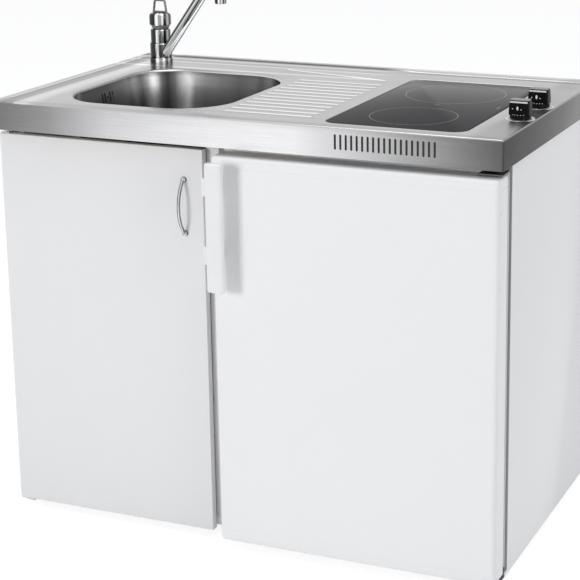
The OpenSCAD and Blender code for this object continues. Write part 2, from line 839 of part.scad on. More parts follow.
module tap_tails() {
    color("peru") place() for (s = [-1, 1])
        translate([tap_x + s * 7, tap_y, top_z - shank_len + 25 - tail_len]) cylinder(d = tail_d, h = tail_len);
}

spout_start = tap_d / 2 - 5;
spout_low = collar_h / 2 - 6;
bend_cx = spout_start + spout_rise * cos(spout_slope) + spout_r * sin(spout_slope);
bend_cz = spout_low + spout_rise * sin(spout_slope) - spout_r * cos(spout_slope);
spout_end_x = bend_cx + spout_r;
spout_end_z = collar_z + bend_cz;
// The tube draws in a little where it is bent
bend_draw = 0.4;

// The spout's line in its own upright plane: a straight rise, then the bend down to the outlet
module spout_line(d) {
    translate([spout_start, 0, spout_low]) rotate([0, 90 - spout_slope, 0])
        cylinder(d = d, h = spout_rise + 0.5);
    translate([bend_cx, 0, bend_cz]) rotate([90, 0, 0])
        rotate_extrude(angle = 90 + spout_slope) translate([spout_r, 0]) circle(d = d - bend_draw);
}

aerator_h = 12;

module tap_spout() {
    color("silver") place() translate([tap_x, tap_y, collar_z]) rotate([0, 0, spout_az]) difference() {
        union() {
            cylinder(d = tap_d + 4, h = collar_h);
            spout_line(spout_d);
        }
        translate([0, 0, -1]) cylinder(d = tap_stem_d + 2 * run, h = collar_h + 2);
        spout_line(spout_d - 6);
    }
}

module tap_aerator() {
    color("silver") place() translate([tap_x, tap_y, 0]) rotate([0, 0, spout_az])
        translate([spout_end_x, 0, spout_end_z - aerator_h]) difference() {
            cylinder(d = spout_d + 2, h = aerator_h);
            translate([0, 0, -1]) cylinder(d = spout_d - 6, h = aerator_h - 2);
        }
}

// The part that turns in the body and carries the lever's pin
module tap_cartridge() {
    color("dimgray") place() translate([tap_x, tap_y, 0]) difference() {
        union() {
            translate([0, 0, cartridge_z]) cylinder(d = cartridge_d, h = pivot_z - cartridge_z);
            intersection() {
                translate([0, 0, pivot_z]) sphere(r = ball_r);
                translate([0, 0, body_top + fit]) cylinder(r = tap_d, h = tap_d * 2);
            }
        }
        translate([-tap_d, 0, pivot_z]) rotate([0, 90, 0]) cylinder(d = lever_pin_d + 2 * run, h = 2 * tap_d);
    }
}

module lever_pin() {
    color("silver") place() translate([tap_x - cap_d / 2 + 1, tap_y, pivot_z]) rotate([0, 90, 0])
        cylinder(d = lever_pin_d, h = cap_d - 2);
}

// The cap over the ball and the loop that a hand lifts and turns
module tap_lever() {
    loop_low = 35;
    loop_top = 29;
    rod = 5;
    color("silver") place() translate([tap_x, tap_y, pivot_z]) {
        difference() {
            translate([0, 0, -cap_low]) cylinder(d = cap_d, h = cap_h);
            sphere(r = ball_r + fit);
            translate([-tap_d, 0, 0]) rotate([0, 90, 0]) cylinder(d = lever_pin_d + 2 * run, h = 2 * tap_d);
        }
        translate([0, 0, cap_h - cap_low]) {
            rotate([90, 0, 0]) translate([0, 0, -rod / 2]) linear_extrude(rod) difference() {
                polygon([[-loop_low / 2, -1], [loop_low / 2, -1], [loop_top / 2, loop_h], [-loop_top / 2, loop_h]]);
                polygon([[-loop_low / 2 + rod, rod / 2], [loop_low / 2 - rod, rod / 2],
                    [loop_top / 2 - rod, loop_h - rod], [-loop_top / 2 + rod, loop_h - rod]]);
            }
        }
    }
}

// ---------- hob ----------

module hob_glass() {
    color("dimgray") place() translate([hob_cx, hob_cy, top_z - glass_t])
        linear_extrude(glass_t) round_rect(hob_w, hob_d, hob_r);
}

module hob_seal() {
    color("black") place() translate([hob_cx, hob_cy, ledge_z + sheet_t]) linear_extrude(seal_t) difference() {
        round_rect(hob_w - 2, hob_d - 2, hob_r - 1);
        round_rect(hob_w - 2 * ledge_w + 4, hob_d - 2 * ledge_w + 4, hob_r - ledge_w + 2);
    }
}

// The tray hangs under the ledge and holds both heaters
module hob_tray() {
    color("darkslategray") place() translate([hob_cx, hob_cy, tray_z]) difference() {
        union() {
            linear_extrude(ledge_z - tray_z) round_rect(tray_w, tray_d, 8);
            translate([0, 0, ledge_z - tray_z - tray_t]) linear_extrude(tray_t)
                round_rect(tray_w + 12, tray_d + 12, 10);
        }
        translate([0, 0, tray_t]) linear_extrude(60)
            round_rect(tray_w - 2 * tray_t, tray_d - 2 * tray_t, 7);
    }
}

// A round pan with its insulating bed and coiled strip
module heater(y, d) {
    color("gray") place() translate([hob_cx, hob_front + y, heater_z]) difference() {
        cylinder(d = d, h = heater_h);
        translate([0, 0, heater_h - 8]) cylinder(d = d - 8, h = 20);
        for (r = [18:12:d / 2 - 14]) translate([0, 0, heater_h - 11]) difference() {
            cylinder(r = r + 2, h = 6);
            translate([0, 0, -1]) cylinder(r = r - 2, h = 8);
        }
    }
}

module front_heater() { heater(front_zone_y, front_zone_d); }
module rear_heater() { heater(rear_zone_y, rear_zone_d); }

regulator_z = under_z - 6 - regulator_h;

module regulator(y) {
    color("ivory") place() difference() {
        union() {
            translate([knob_x, y, regulator_z]) linear_extrude(regulator_h)
                translate([-6, 0]) square([regulator_w - 4, regulator_w], center = true);
            translate([knob_x, y, regulator_z + regulator_h]) cylinder(d = spindle_d + 14, h = 6);
        }
        translate([knob_x, y, regulator_z + regulator_h - 12]) cylinder(d = spindle_d + 2 * run, h = 30);
    }
}

module front_regulator() { regulator(knob_front_y); }
module rear_regulator() { regulator(knob_y2); }

spindle_z = regulator_z + regulator_h - 12;
knob_z = top_z + 1.5;

// The spindle's top is cut flat so that the knob turns it
module spindle(y) {
    color("silver") place() translate([knob_x, y, 0]) difference() {
        translate([0, 0, spindle_z]) cylinder(d = spindle_d, h = knob_z + 18 - spindle_z);
        translate([spindle_d / 2 - 1, -spindle_d, knob_z + 2]) cube([spindle_d, 2 * spindle_d, 30]);
    }
}

module front_spindle() { spindle(knob_front_y); }
module rear_spindle() { spindle(knob_y2); }

// A round skirt with a block grip across it
module knob(y) {
    skirt = 9;
    grip = knob_d * 0.62;
    color("black") place() translate([knob_x, y, knob_z]) difference() {
        union() {
            cylinder(d = knob_d, h = skirt);
            translate([0, 0, skirt]) linear_extrude(knob_h - skirt) intersection() {
                circle(d = knob_d);
                square([knob_d, grip], center = true);
            }
        }
        translate([0, 0, -1]) cylinder(d = spindle_d + 2 * run, h = 19.5);
    }
}

module front_knob() { knob(knob_front_y); }
module rear_knob() { knob(knob_y2); }

// ---------- refrigerator ----------

// The side view of the case, drawn in by an inset, with the compressor's space cut from its lower back
module case_outline(inset) {
    step = foot_h + machine_h + inset;
    polygon([[carcass_front + inset, foot_h + inset], [machine_y - inset, foot_h + inset],
        [machine_y - inset, step], [fridge_y1 - inset, step],
        [fridge_y1 - inset, frame_z - inset], [carcass_front + inset, frame_z - inset]]);
}

// The side view of the cold space, drawn in by an inset and open at the front
module cold_outline(inset) {
    front = carcass_front - 1;
    polygon([[front, cav_z0 + inset], [step_y - inset, cav_z0 + inset],
        [step_y - inset, step_z + inset], [cav_y1 - inset, step_z + inset],
        [cav_y1 - inset, cav_z1 - inset], [front, cav_z1 - inset]]);
}

// Stretches a side view from one X to another
module across(x0, x1) {
    translate([x0, 0, 0]) rotate([90, 0, 90]) linear_extrude(x1 - x0) children();
}

// Bent steel round the case, with its side walls run down beside the compressor
module fridge_casing() {
    color("white") place() {
        difference() {
            across(fridge_x0, fridge_x1) case_outline(0);
            across(fridge_x0 + shell_t, fridge_x1 - shell_t) case_outline(shell_t);
            block([cav_x0, cav_x1], [carcass_front - 1, carcass_front + 3], [cav_z0, cav_z1]);
        }
        for (x = [fridge_x0, fridge_x1 - shell_t])
            block([x, x + shell_t], [machine_y, fridge_y1], [foot_h, foot_h + machine_h]);
        block([fridge_x0, fridge_x1], [machine_y, fridge_y1], [foot_h, foot_h + shell_t]);
    }
}

// Foam between the casing and the lining
module fridge_insulation() {
    color("khaki") place() difference() {
        across(fridge_x0 + shell_t, fridge_x1 - shell_t) case_outline(shell_t);
        across(cav_x0, cav_x1) cold_outline(0);
    }
}

// The plastic lining, with a rib under each end of each shelf
module fridge_liner() {
    rib = [10, 6];
    color("white") place() {
        difference() {
            intersection() {
                across(cav_x0, cav_x1) cold_outline(0);
                block([fridge_x0, fridge_x1], [carcass_front + shell_t, fridge_y1], [foot_h, frame_z]);
            }
            across(lin_x0, lin_x1) cold_outline(liner_t);
        }
        for (i = [0:2], x = [lin_x0, lin_x1 - rib[0]])
            block([x, x + rib[0]], [shelf_y0, i == 0 ? step_y - 6 : lin_y1 - 4],
                [cover_z + i * shelf_gap - rib[1], cover_z + i * shelf_gap]);
    }
}

foot_in = 40;

module fridge_feet() {
    color("dimgray") place()
        for (x = [fridge_x0 + foot_in, fridge_x1 - foot_in - 30],
            y = [carcass_front + foot_in + 20, fridge_y1 - foot_in])
            translate([x, y, 0]) cylinder(d = foot_d, h = foot_h);
}

coil_out = 12;
coil_low = 30;
coil_high = 60;
coil_end = 12;
coil_clip = 8;
wire_w = 2;

// Cross tubes and upright wires on the case's back, held by four clips
module condenser() {
    x0 = fridge_x0 + coil_in;
    x1 = fridge_x1 - coil_in;
    y = fridge_y1 + coil_out;
    z0 = foot_h + machine_h + coil_low;
    pitch = (frame_z - coil_high - z0) / (coil_rows - 1);
    wire_x0 = x0 + coil_end;
    wire_pitch = (x1 - x0 - 2 * coil_end) / (coil_wires - 1);
    z1 = z0 + (coil_rows - 1) * pitch;
    color("black") place() {
        for (i = [0:coil_rows - 1]) translate([x0, y, z0 + i * pitch]) rotate([0, 90, 0])
            cylinder(d = coil_d, h = x1 - x0, $fn = 16);
        for (i = [0:coil_wires - 1]) let (x = wire_x0 + i * wire_pitch)
            block([x - wire_w / 2, x + wire_w / 2], [y - wire_w, y + wire_w], [z0 - coil_clip, z1 + coil_clip]);
        for (x = [x0, x1], z = [z0 - coil_clip, z1])
            block([x - coil_clip / 2, x + coil_clip / 2], [fridge_y1, y + wire_w], [z, z + coil_clip]);
    }
}

// A round pot on three rubber feet
module compressor() {
    cx = (fridge_x0 + fridge_x1) / 2;
    cy = machine_y + 12 + compressor_d / 2;
    z0 = foot_h + shell_t;
    pot = compressor_h;
    color("black") place() {
        translate([cx, cy, z0 + 14]) cylinder(d = compressor_d, h = pot);
        translate([cx, cy, z0 + 14 + pot]) cylinder(d1 = compressor_d, d2 = compressor_d * 0.7, h = 18);
        for (a = [30:120:270]) translate([cx + compressor_d * 0.36 * cos(a), cy + compressor_d * 0.36 * sin(a), z0])
            cylinder(d = 18, h = 14);
        block([cx + compressor_d / 2 - 8, cx + compressor_d / 2 + 34], [cy - 26, cy + 26], [z0 + 30, z0 + 90]);
    }
}

stat_gap = 4;
ice_y1 = lin_y1 - ice_gap;
ice_y0 = ice_y1 - ice_d;
ice_x0 = lin_x0 + stat_w + stat_gap;
ice_x1 = lin_x1 - 4;
ice_z1 = lin_z1 - 4;
ice_z0 = ice_z1 - ice_h;

// The cold box hung from the lining's roof, open at the front
module ice_box() {
    color("gainsboro") place() difference() {
        union() {
            block([ice_x0, ice_x1], [ice_y0, ice_y1], [ice_z0, ice_z1]);
            for (x = [ice_x0 + 20, ice_x1 - 40], y = [ice_y0 + 20, ice_y1 - 40])
                block([x, x + 20], [y, y + 20], [ice_z1, lin_z1]);
        }
        block([ice_x0 + ice_t, ice_x1 - ice_t], [ice_y0 - 1, ice_y1 - ice_t],
            [ice_z0 + ice_t, ice_z1 - ice_t]);
        for (x = [ice_x0 - 1, ice_x1 - ice_t - 1]) translate([x, ice_y0 + 6, ice_z0 + 9]) rotate([0, 90, 0])
            cylinder(d = 4 + 2 * run, h = ice_t + 2);
    }
}

// The flap turns on two stubs at its lower edge
module ice_flap() {
    x0 = ice_x0 + ice_t + 0.5;
    x1 = ice_x1 - ice_t - 0.5;
    color("aliceblue") place() {
        difference() {
            block([x0, x1], [ice_y0 + 2, ice_y0 + 2 + flap_t], [ice_z0 + 5, ice_z1 - ice_t - 1]);
            block([x0 - 1, x1 + 1], [ice_y0 + 1, ice_y0 + 2 + flap_t / 2], [ice_z1 - 26, ice_z1 - 14]);
        }
        translate([ice_x0, ice_y0 + 6, ice_z0 + 9]) rotate([0, 90, 0]) cylinder(d = 4, h = ice_x1 - ice_x0);
    }
}

shelf_y0 = carcass_front + shelf_in;
crisper_z = lin_z0 + fit;
cover_z = crisper_z + crisper_h + 6;

// Two glass shelves and the glass over the drawer, each on ribs of the lining
module glass_shelves() {
    color("lightcyan") place() {
        block([shelf_x0, shelf_x1], [shelf_y0, step_y - 6], [cover_z, cover_z + shelf_t]);
        for (i = [1, 2]) block([shelf_x0, shelf_x1], [shelf_y0, lin_y1 - 4],
            [cover_z + i * shelf_gap, cover_z + i * shelf_gap + shelf_t]);
    }
}

crisper_wall = 3;

// The drawer with its front lip
module crisper() {
    x0 = shelf_x0 + 14;
    x1 = shelf_x1 - 14;
    y0 = step_y - 10 - crisper_d;
    color("lightcyan") place() difference() {
        union() {
            block([x0, x1], [y0, y0 + crisper_d], [crisper_z, crisper_z + crisper_h]);
            block([x0, x1], [y0 - 12, y0], [crisper_z + crisper_h - 14, crisper_z + crisper_h]);
        }
        block([x0 + crisper_wall, x1 - crisper_wall], [y0 + crisper_wall, y0 + crisper_d - crisper_wall],
            [crisper_z + crisper_wall, crisper_z + crisper_h + 1]);
        block([x0 + 6, x1 - 6], [y0 - 9, y0], [crisper_z + crisper_h - 15, crisper_z + crisper_h - 3]);
    }
}

dial_x = lin_x0 + stat_w / 2;
dial_z = ice_z0 + dial_up;
stat_y0 = carcass_front + stat_in;
stat_low = 30;

// The housing beside the ice box with the lamp's window
module thermostat() {
    color("white") place() difference() {
        block([lin_x0, lin_x0 + stat_w], [stat_y0, stat_y0 + stat_d], [dial_z - stat_low, lin_z1]);
        translate([dial_x, stat_y0 - 1, dial_z]) rotate([-90, 0, 0]) cylinder(d = 6 + 2 * run, h = 22);
        block([lin_x0 + 8, lin_x0 + stat_w - 8], [stat_y0 + 40, stat_y0 + stat_d - 20],
            [dial_z - stat_low - 1, dial_z - stat_low + 14]);
    }
}

module thermostat_dial() {
    color("whitesmoke") place() translate([dial_x, stat_y0, dial_z]) rotate([-90, 0, 0]) {
        translate([0, 0, -2]) cylinder(d = 6, h = 22);
        translate([0, 0, -10]) cylinder(d = dial_d, h = 10 - fit);
        translate([-2, -dial_d / 2, -15]) cube([4, dial_d, 6]);
    }
}

// ---------- refrigerator door ----------

// The door's plan, drawn in by an inset, with round front edges and an open rear
module fdoor_plan(inset) {
    w = fridge_w - inset;
    r = fdoor_r - inset;
    rear = fdoor_t + (inset > 0 ? 1 : 0);
    translate([inset, fdoor_r]) square([w - inset, rear - fdoor_r]);
    translate([fdoor_r, inset]) square([fridge_w - 2 * fdoor_r, fdoor_r]);
    for (x = [fdoor_r, fridge_w - fdoor_r]) translate([x, fdoor_r]) circle(r);
}

plug_zs = [door_top - 60, door_top - 190];
boss_d = fpin_d + 10;

// The space inside the skin, left open round the two pin bosses
module fdoor_core() {
    difference() {
        translate([fridge_x0, fdoor_y0, fdoor_z + fdoor_skin])
            linear_extrude(door_top - fdoor_z - 2 * fdoor_skin) fdoor_plan(fdoor_skin);
        for (z = [fdoor_z, door_top - fpin_len - 3]) translate([axis_x, axis_y, z])
            cylinder(d = boss_d, h = fpin_len + 3);
        block([fridge_x0, fridge_x1], [fdoor_y1, fdoor_y1 + 5], [fdoor_z, door_top]);
    }
}

module fridge_door() {
    color("white") place() difference() {
        translate([fridge_x0, fdoor_y0, fdoor_z]) linear_extrude(door_top - fdoor_z) fdoor_plan(0);
        fdoor_core();
        translate([axis_x, axis_y, fdoor_z - 1]) cylinder(d = fpin_d + 2 * run, h = fpin_len + 1);
        translate([axis_x, axis_y, door_top - fpin_len]) cylinder(d = fpin_d + 2 * run, h = fpin_len + 1);
        for (z = plug_zs) translate([fridge_x1 - 4, fdoor_y0 + plug_in, z]) rotate([0, 90, 0])
            cylinder(d = plug_d - 2, h = 6);
    }
}

module door_foam() {
    color("khaki") place() fdoor_core();
}

// Gaps between the door's raised frame and the lining's walls, left and right
rib_gap = [18, 10];

// The moulded inner face with its raised frame for the racks
module door_liner() {
    x0 = fridge_x0 + gasket_in - 4;
    x1 = fridge_x1 - gasket_in + 4;
    z0 = fdoor_z + gasket_in - 4;
    z1 = door_top - gasket_in + 4;
    w0 = lin_x0 + rib_gap[0];
    w1 = lin_x1 - rib_gap[1];
    y0 = fdoor_y1 + door_liner_t;
    color("white") place() {
        block([x0, x1], [fdoor_y1, y0], [z0, z1]);
        difference() {
            block([w0, w1], [y0, y0 + door_rib_h], [cav_z0 + 14, cav_z1 - 18]);
            block([w0 + door_rib_w, w1 - door_rib_w], [y0, y0 + door_rib_h + 1],
                [cav_z0 + 14 + door_rib_w, cav_z1 - 18 - door_rib_w]);
        }
    }
}

module door_gasket() {
    y = [fdoor_y1 + door_liner_t, carcass_front - fit];
    x0 = fridge_x0 + gasket_in;
    x1 = fridge_x1 - gasket_in;
    z0 = fdoor_z + gasket_in;
    z1 = door_top - gasket_in;
    color("gray") place() difference() {
        block([x0, x1], y, [z0, z1]);
        block([x0 + gasket_w, x1 - gasket_w], [y[0] - 1, y[1] + 1], [z0 + gasket_w, z1 - gasket_w]);
    }
}

rack_x0 = lin_x0 + rib_gap[0] + door_rib_w;
rack_x1 = lin_x1 - rib_gap[1] - door_rib_w;

// Three open racks held between the liner's two upright ribs
module door_racks() {
    y0 = fdoor_y1 + door_liner_t;
    color("lightcyan") place() for (up = [rack_z1, rack_z2, rack_z3]) let (z = cav_z0 + up) difference() {
        block([rack_x0, rack_x1], [y0, y0 + rack_d], [z, z + rack_h]);
        block([rack_x0 + rack_t, rack_x1 - rack_t], [y0 + rack_t, y0 + rack_d - rack_t],
            [z + rack_t, z + rack_h + 1]);
    }
}

bar_x0 = fridge_x0 + bar_in;
mount_x = [fridge_x0 + 1, bar_x0 + 7];
mount_h = 32;
bar_top = door_top - bar_drop;

module bar_handle() {
    mount_zs = [bar_top - 62, bar_top - 186];
    color("white") place() {
        translate([bar_x0 + bar_w / 2, fdoor_y0 - bar_gap - bar_t / 2, bar_top - bar_len])
            linear_extrude(bar_len) round_rect(bar_w, bar_t, bar_t * 0.4);
        for (z = mount_zs) block(mount_x,
            [fdoor_y0 - bar_gap - 1, fdoor_y0], [z, z + mount_h]);
    }
}

// Two flat plugs in the door's side, for the hinge's other hand
module door_plugs() {
    color("whitesmoke") place() for (z = plug_zs) translate([fridge_x1, fdoor_y0 + plug_in, z]) rotate([0, 90, 0]) {
        cylinder(d = plug_d, h = 0.6);
        translate([0, 0, -fdoor_skin]) cylinder(d = plug_d - 2 - 2 * run, h = fdoor_skin);
    }
}

// The two brackets on the case's front, each with its pin
module fridge_hinges() {
    x = [fridge_x1 - hinge_w, fridge_x1];
    tab_y = [carcass_front - hinge_t, carcass_front];
    low = fdoor_z - 4;
    high = door_top + 2;
    color("silver") place() {
        block(x, tab_y, [foot_h, foot_h + hinge_leg]);
        block(x, [axis_y - 10, carcass_front], [low - hinge_t, low]);
        translate([axis_x, axis_y, low]) cylinder(d = fpin_d, h = fdoor_z + fpin_len - 2 - low);
        block(x, tab_y, [high, high + hinge_leg - 4]);
        block(x, [axis_y - 10, carcass_front], [high, high + hinge_t]);
        translate([axis_x, axis_y, door_top - fpin_len + 2]) cylinder(d = fpin_d, h = high - door_top + fpin_len - 2);
    }
}

left_panel();
divider_panel();
base_panel();
back_panel();
front_rail();
rear_rail();
panel_glides();
cupboard_door();
bow_handle();
handle_screws();
upper_pivot();
lower_pivot();
worktop_sheet();
worktop_frame();
sink_bowl();
waste_flange();
sink_strainer();
overflow_pipe();
waste_body();
trap_cup();
waste_pipe();
tap_body();
tap_nut();
tap_tails();
tap_spout();
tap_aerator();
tap_cartridge();
lever_pin();
tap_lever();
hob_glass();
hob_seal();
hob_tray();
front_heater();
rear_heater();
front_regulator();
rear_regulator();
front_spindle();
rear_spindle();
front_knob();
rear_knob();
fridge_casing();
fridge_insulation();
fridge_liner();
fridge_feet();
condenser();
compressor();
ice_box();
ice_flap();
glass_shelves();
crisper();
thermostat();
thermostat_dial();
fridge_door();
door_foam();
door_liner();
door_gasket();
door_racks();
bar_handle();
door_plugs();
fridge_hinges();
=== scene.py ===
import bmesh
import bpy
import json
from math import atan2, cos, hypot, pi, radians, sin
from mathutils import Matrix, Vector

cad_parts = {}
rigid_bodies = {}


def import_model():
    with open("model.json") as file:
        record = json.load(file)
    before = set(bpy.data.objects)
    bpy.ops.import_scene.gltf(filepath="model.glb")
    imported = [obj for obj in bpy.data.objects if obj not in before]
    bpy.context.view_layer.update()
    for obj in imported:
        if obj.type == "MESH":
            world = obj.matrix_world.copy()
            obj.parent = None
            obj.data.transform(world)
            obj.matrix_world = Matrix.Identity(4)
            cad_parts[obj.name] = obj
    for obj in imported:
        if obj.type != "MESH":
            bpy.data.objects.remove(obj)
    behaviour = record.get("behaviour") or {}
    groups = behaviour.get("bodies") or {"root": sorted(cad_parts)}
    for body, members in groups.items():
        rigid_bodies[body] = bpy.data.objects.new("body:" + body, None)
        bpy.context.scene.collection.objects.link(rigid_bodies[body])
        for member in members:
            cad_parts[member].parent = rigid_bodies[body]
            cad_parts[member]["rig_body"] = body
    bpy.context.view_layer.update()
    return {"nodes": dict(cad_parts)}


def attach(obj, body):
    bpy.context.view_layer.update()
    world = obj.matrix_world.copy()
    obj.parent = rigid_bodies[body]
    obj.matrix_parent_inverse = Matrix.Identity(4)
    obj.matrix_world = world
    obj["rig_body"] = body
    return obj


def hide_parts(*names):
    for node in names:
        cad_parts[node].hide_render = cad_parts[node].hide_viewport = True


# The kitchenette is drawn in millimetres as a maker reads it: X to the right, Y back from the
# worktop's front edge, Z up from the floor. Each finished piece is then put in the frame's metres.
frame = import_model()

MM = 0.001
FRONT = 270.0

# Worktop: the sheet, its turned-down edge, the drainer's ribs and the air slots
TOP_W, TOP_D, TOP_Z, TOP_R = 1000.0, 600.0, 820.0, 3.0
TOP_WALL = 1.1
APRON_Z = 766.0
EDGE_ROLL = 3.2
RIB_X0, RIB_X1, RIB_Y0, RIB_STEP, RIB_COUNT = -45.0, 121.0, 66.0, 30.0, 12
RIB_W, RIB_H = 13.0, 1.5
LONG_RIB_X, LONG_RIB_Y = -118.0, 494.0
LONG_RIB_LENGTH, LONG_RIB_TURN = 233.0, radians(-12)
BEAD_W = 10.0
AIR_SLOTS, AIR_SLOT_STEP = 19, 10.1
AIR_SLOT_W, AIR_SLOT_H, AIR_SLOT_DROP = 4.0, 27.0, 12.0
# Sink: the bowl and its overflow slots with the hole between them
BOWL_X, BOWL_Y = -235.0, 244.0
BOWL_W, BOWL_D, BOWL_R = 326.0, 380.0, 100.0
BOWL_WALL = 1.0
OVERFLOW_Z, OVERFLOW_STEP = 790.0, 9.4
OVERFLOW_H, OVERFLOW_W, OVERFLOW_HOLE = 20.0, 4.0, 5.0
# Tap
TAP_X, TAP_Y = -412.0, 495.0
COLLAR_Z, COLLAR_H = 832.3, 29.0
SPOUT_TURN, SPOUT_SLOPE = radians(-27), radians(44)
SPOUT_D, SPOUT_RUN, SPOUT_BEND = 22.0, 219.6, 25.0
# Hob: the glass, the zones as (middle's Y, radius), and the knobs
HOB_X, HOB_Y, HOB_W, HOB_D, HOB_R = 288.5, 259.0, 261.0, 452.0, 26.0
FRONT_ZONE, REAR_ZONE = (140.0, 78.0), (362.0, 94.0)
KNOB_X, FRONT_KNOB_Y, REAR_KNOB_Y, KNOB_Z = 472.0, 180.0, 293.0, 821.5
GRIP_W, GRIP_D = 37.4, 24.0
# Fronts: the cupboard's door with its bow handle, the refrigerator's with its bar handle
DOOR_TOP = 754.0
CUP_X0, CUP_X1, CUP_Y0, CUP_Y1, CUP_Z0 = -500.0, -73.0, 25.0, 41.0, 18.0
BOW_X, BOW_Y, BOW_Z = -111.0, 21.0, 647.0
BOW_HALF, BOW_RISE, BOW_D = 50.0, 20.0, 6.0
COOL_X0, COOL_X1, COOL_Y0, COOL_Y1, COOL_Z0 = -38.0, 497.0, -14.0, 36.0, 24.0
BAR_X, BAR_Y, BAR_TOP = -10.5, -53.0, 751.0
BAR_W, BAR_D, BAR_LENGTH = 33.0, 14.0, 234.0
MOUNT_X, MOUNT_W, MOUNT_H, MOUNT_FEET = -28.5, 17.0, 32.0, (689, 565)


# ---------- camera and studio ----------

def set_camera():
    """The photograph's viewing angle, found from the worktop's corners, the zones and fronts."""
    yaw, pitch, roll = 0.3901, -0.2432, -0.0062
    focal, middle_u, middle_v, frame_px = 1715.58, 371.13, 194.80, 580
    stand, sensor = Vector((1.34541, -2.90006, 1.41278)), 36
    ahead = Vector((-sin(yaw) * cos(pitch), cos(yaw) * cos(pitch), sin(pitch)))
    level = Vector((cos(yaw), sin(yaw), 0))
    upward = level.cross(ahead)
    side = level * cos(roll) + upward * sin(roll)
    top = upward * cos(roll) - level * sin(roll)
    lens = bpy.data.cameras.new("camera")
    lens.sensor_width = sensor
    lens.lens = focal / frame_px * sensor
    lens.shift_x = (frame_px / 2 - middle_u) / frame_px
    lens.shift_y = (middle_v - frame_px / 2) / frame_px
    lens.clip_end = 60
    camera = bpy.data.objects.new("camera", lens)
    bpy.context.scene.collection.objects.link(camera)
    turn = Matrix((side, top, -ahead)).transposed().to_4x4()
    camera.matrix_world = Matrix.Translation(stand) @ turn
    bpy.context.scene.camera = camera


def lamp(name, place, aim, size, power, mirrored=True):
    """A soft lamp. One that isn't mirrored leaves no bright patch of its own in the metal."""
    data = bpy.data.lights.new(name, "AREA")
    data.shape = "RECTANGLE"
    data.size, data.size_y = size
    data.energy = power
    light = bpy.data.objects.new(name, data)
    bpy.context.scene.collection.objects.link(light)
    light.location = place
    light.rotation_euler = (Vector(aim) - Vector(place)).to_track_quat("-Z", "Y").to_euler()
    light.visible_glossy = mirrored


def split_by_sight(tree, lighting, seen, surface):
    """One shader for the light that is given off, another for what is looked at straight, in
    metal or through glass."""
    path = tree.nodes.new("ShaderNodeLightPath")
    share = path.outputs["Is Camera Ray"]
    for ray in ("Is Glossy Ray", "Is Transmission Ray"):
        either = tree.nodes.new("ShaderNodeMath")
        either.operation = "MAXIMUM"
        tree.links.new(share, either.inputs[0])
        tree.links.new(path.outputs[ray], either.inputs[1])
        share = either.outputs[0]
    mix = tree.nodes.new("ShaderNodeMixShader")
    for source, socket in zip((share, lighting.outputs[0], seen.outputs[0]), mix.inputs):
        tree.links.new(source, socket)
    tree.links.new(mix.outputs[0], surface)


def surroundings(tree, colour, strength):
    """A plain surrounding of one colour."""
    sky = tree.nodes.new("ShaderNodeBackground")
    sky.inputs["Color"].default_value = (*colour, 1)
    sky.inputs["Strength"].default_value = strength
    return sky


def placed(name, bm):
    """Makes a shape an object of the scene."""
    mesh = bpy.data.meshes.new(name)
    bm.to_mesh(mesh)
    bm.free()
    made = bpy.data.objects.new(name, mesh)
    bpy.context.scene.collection.objects.link(made)
    return made


def set_floor():
    """A pale floor, which is seen as plain white with the object's shadow on it."""
    bm = bmesh.new()
    bmesh.ops.create_grid(bm, x_segments=1, y_segments=1, size=14)
    ground = placed("floor", bm)
    white = bpy.data.materials.new("studio floor")
    white.use_nodes = True
    tree = white.node_tree
    paint = tree.nodes["Principled BSDF"]
    paint.inputs["Base Color"].default_value = (0.9, 0.9, 0.9, 1)
    paint.inputs["Roughness"].default_value = 0.9
    glow = tree.nodes.new("ShaderNodeEmission")
    glow.inputs["Color"].default_value = (1, 1, 1, 1)
    glow.inputs["Strength"].default_value = 0.8
    shadow = tree.nodes.new("ShaderNodeBsdfDiffuse")
    shadow.inputs["Color"].default_value = (0.42, 0.42, 0.42, 1)
    both = tree.nodes.new("ShaderNodeAddShader")
    tree.links.new(glow.outputs[0], both.inputs[0])
    tree.links.new(shadow.outputs[0], both.inputs[1])
    split_by_sight(tree, paint, both, tree.nodes["Material Output"].inputs["Surface"])
    ground.data.materials.append(white)


def set_studio():
    """Plain white surroundings, soft lamps and a pale floor."""
    world = bpy.data.worlds.new("studio")
    bpy.context.scene.world = world
    world.use_nodes = True
    tree = world.node_tree
    tree.nodes.clear()
    soft = surroundings(tree, (0.93, 0.95, 1.0), 0.42)
    plain = surroundings(tree, (1, 1, 1), 1.0)
    split_by_sight(tree, soft, plain, tree.nodes.new("ShaderNodeOutputWorld").inputs[0])
    lamp("key lamp", (-1.7, -4.9, 1.7), (0.1, 0, 0.5), (1.3, 1.3), 92, mirrored=False)
    lamp("fill lamp", (3.2, -1.0, 1.8), (0.3, 0, 0.5), (1.8, 1.8), 21)
    lamp("top lamp", (0.1, 0.1, 3.4), (0, 0, 0.6), (2.4, 1.6), 30)
    set_floor()
    bpy.context.scene.view_settings.view_transform = "Standard"


# ---------- finishes ----------

FINISH = {}


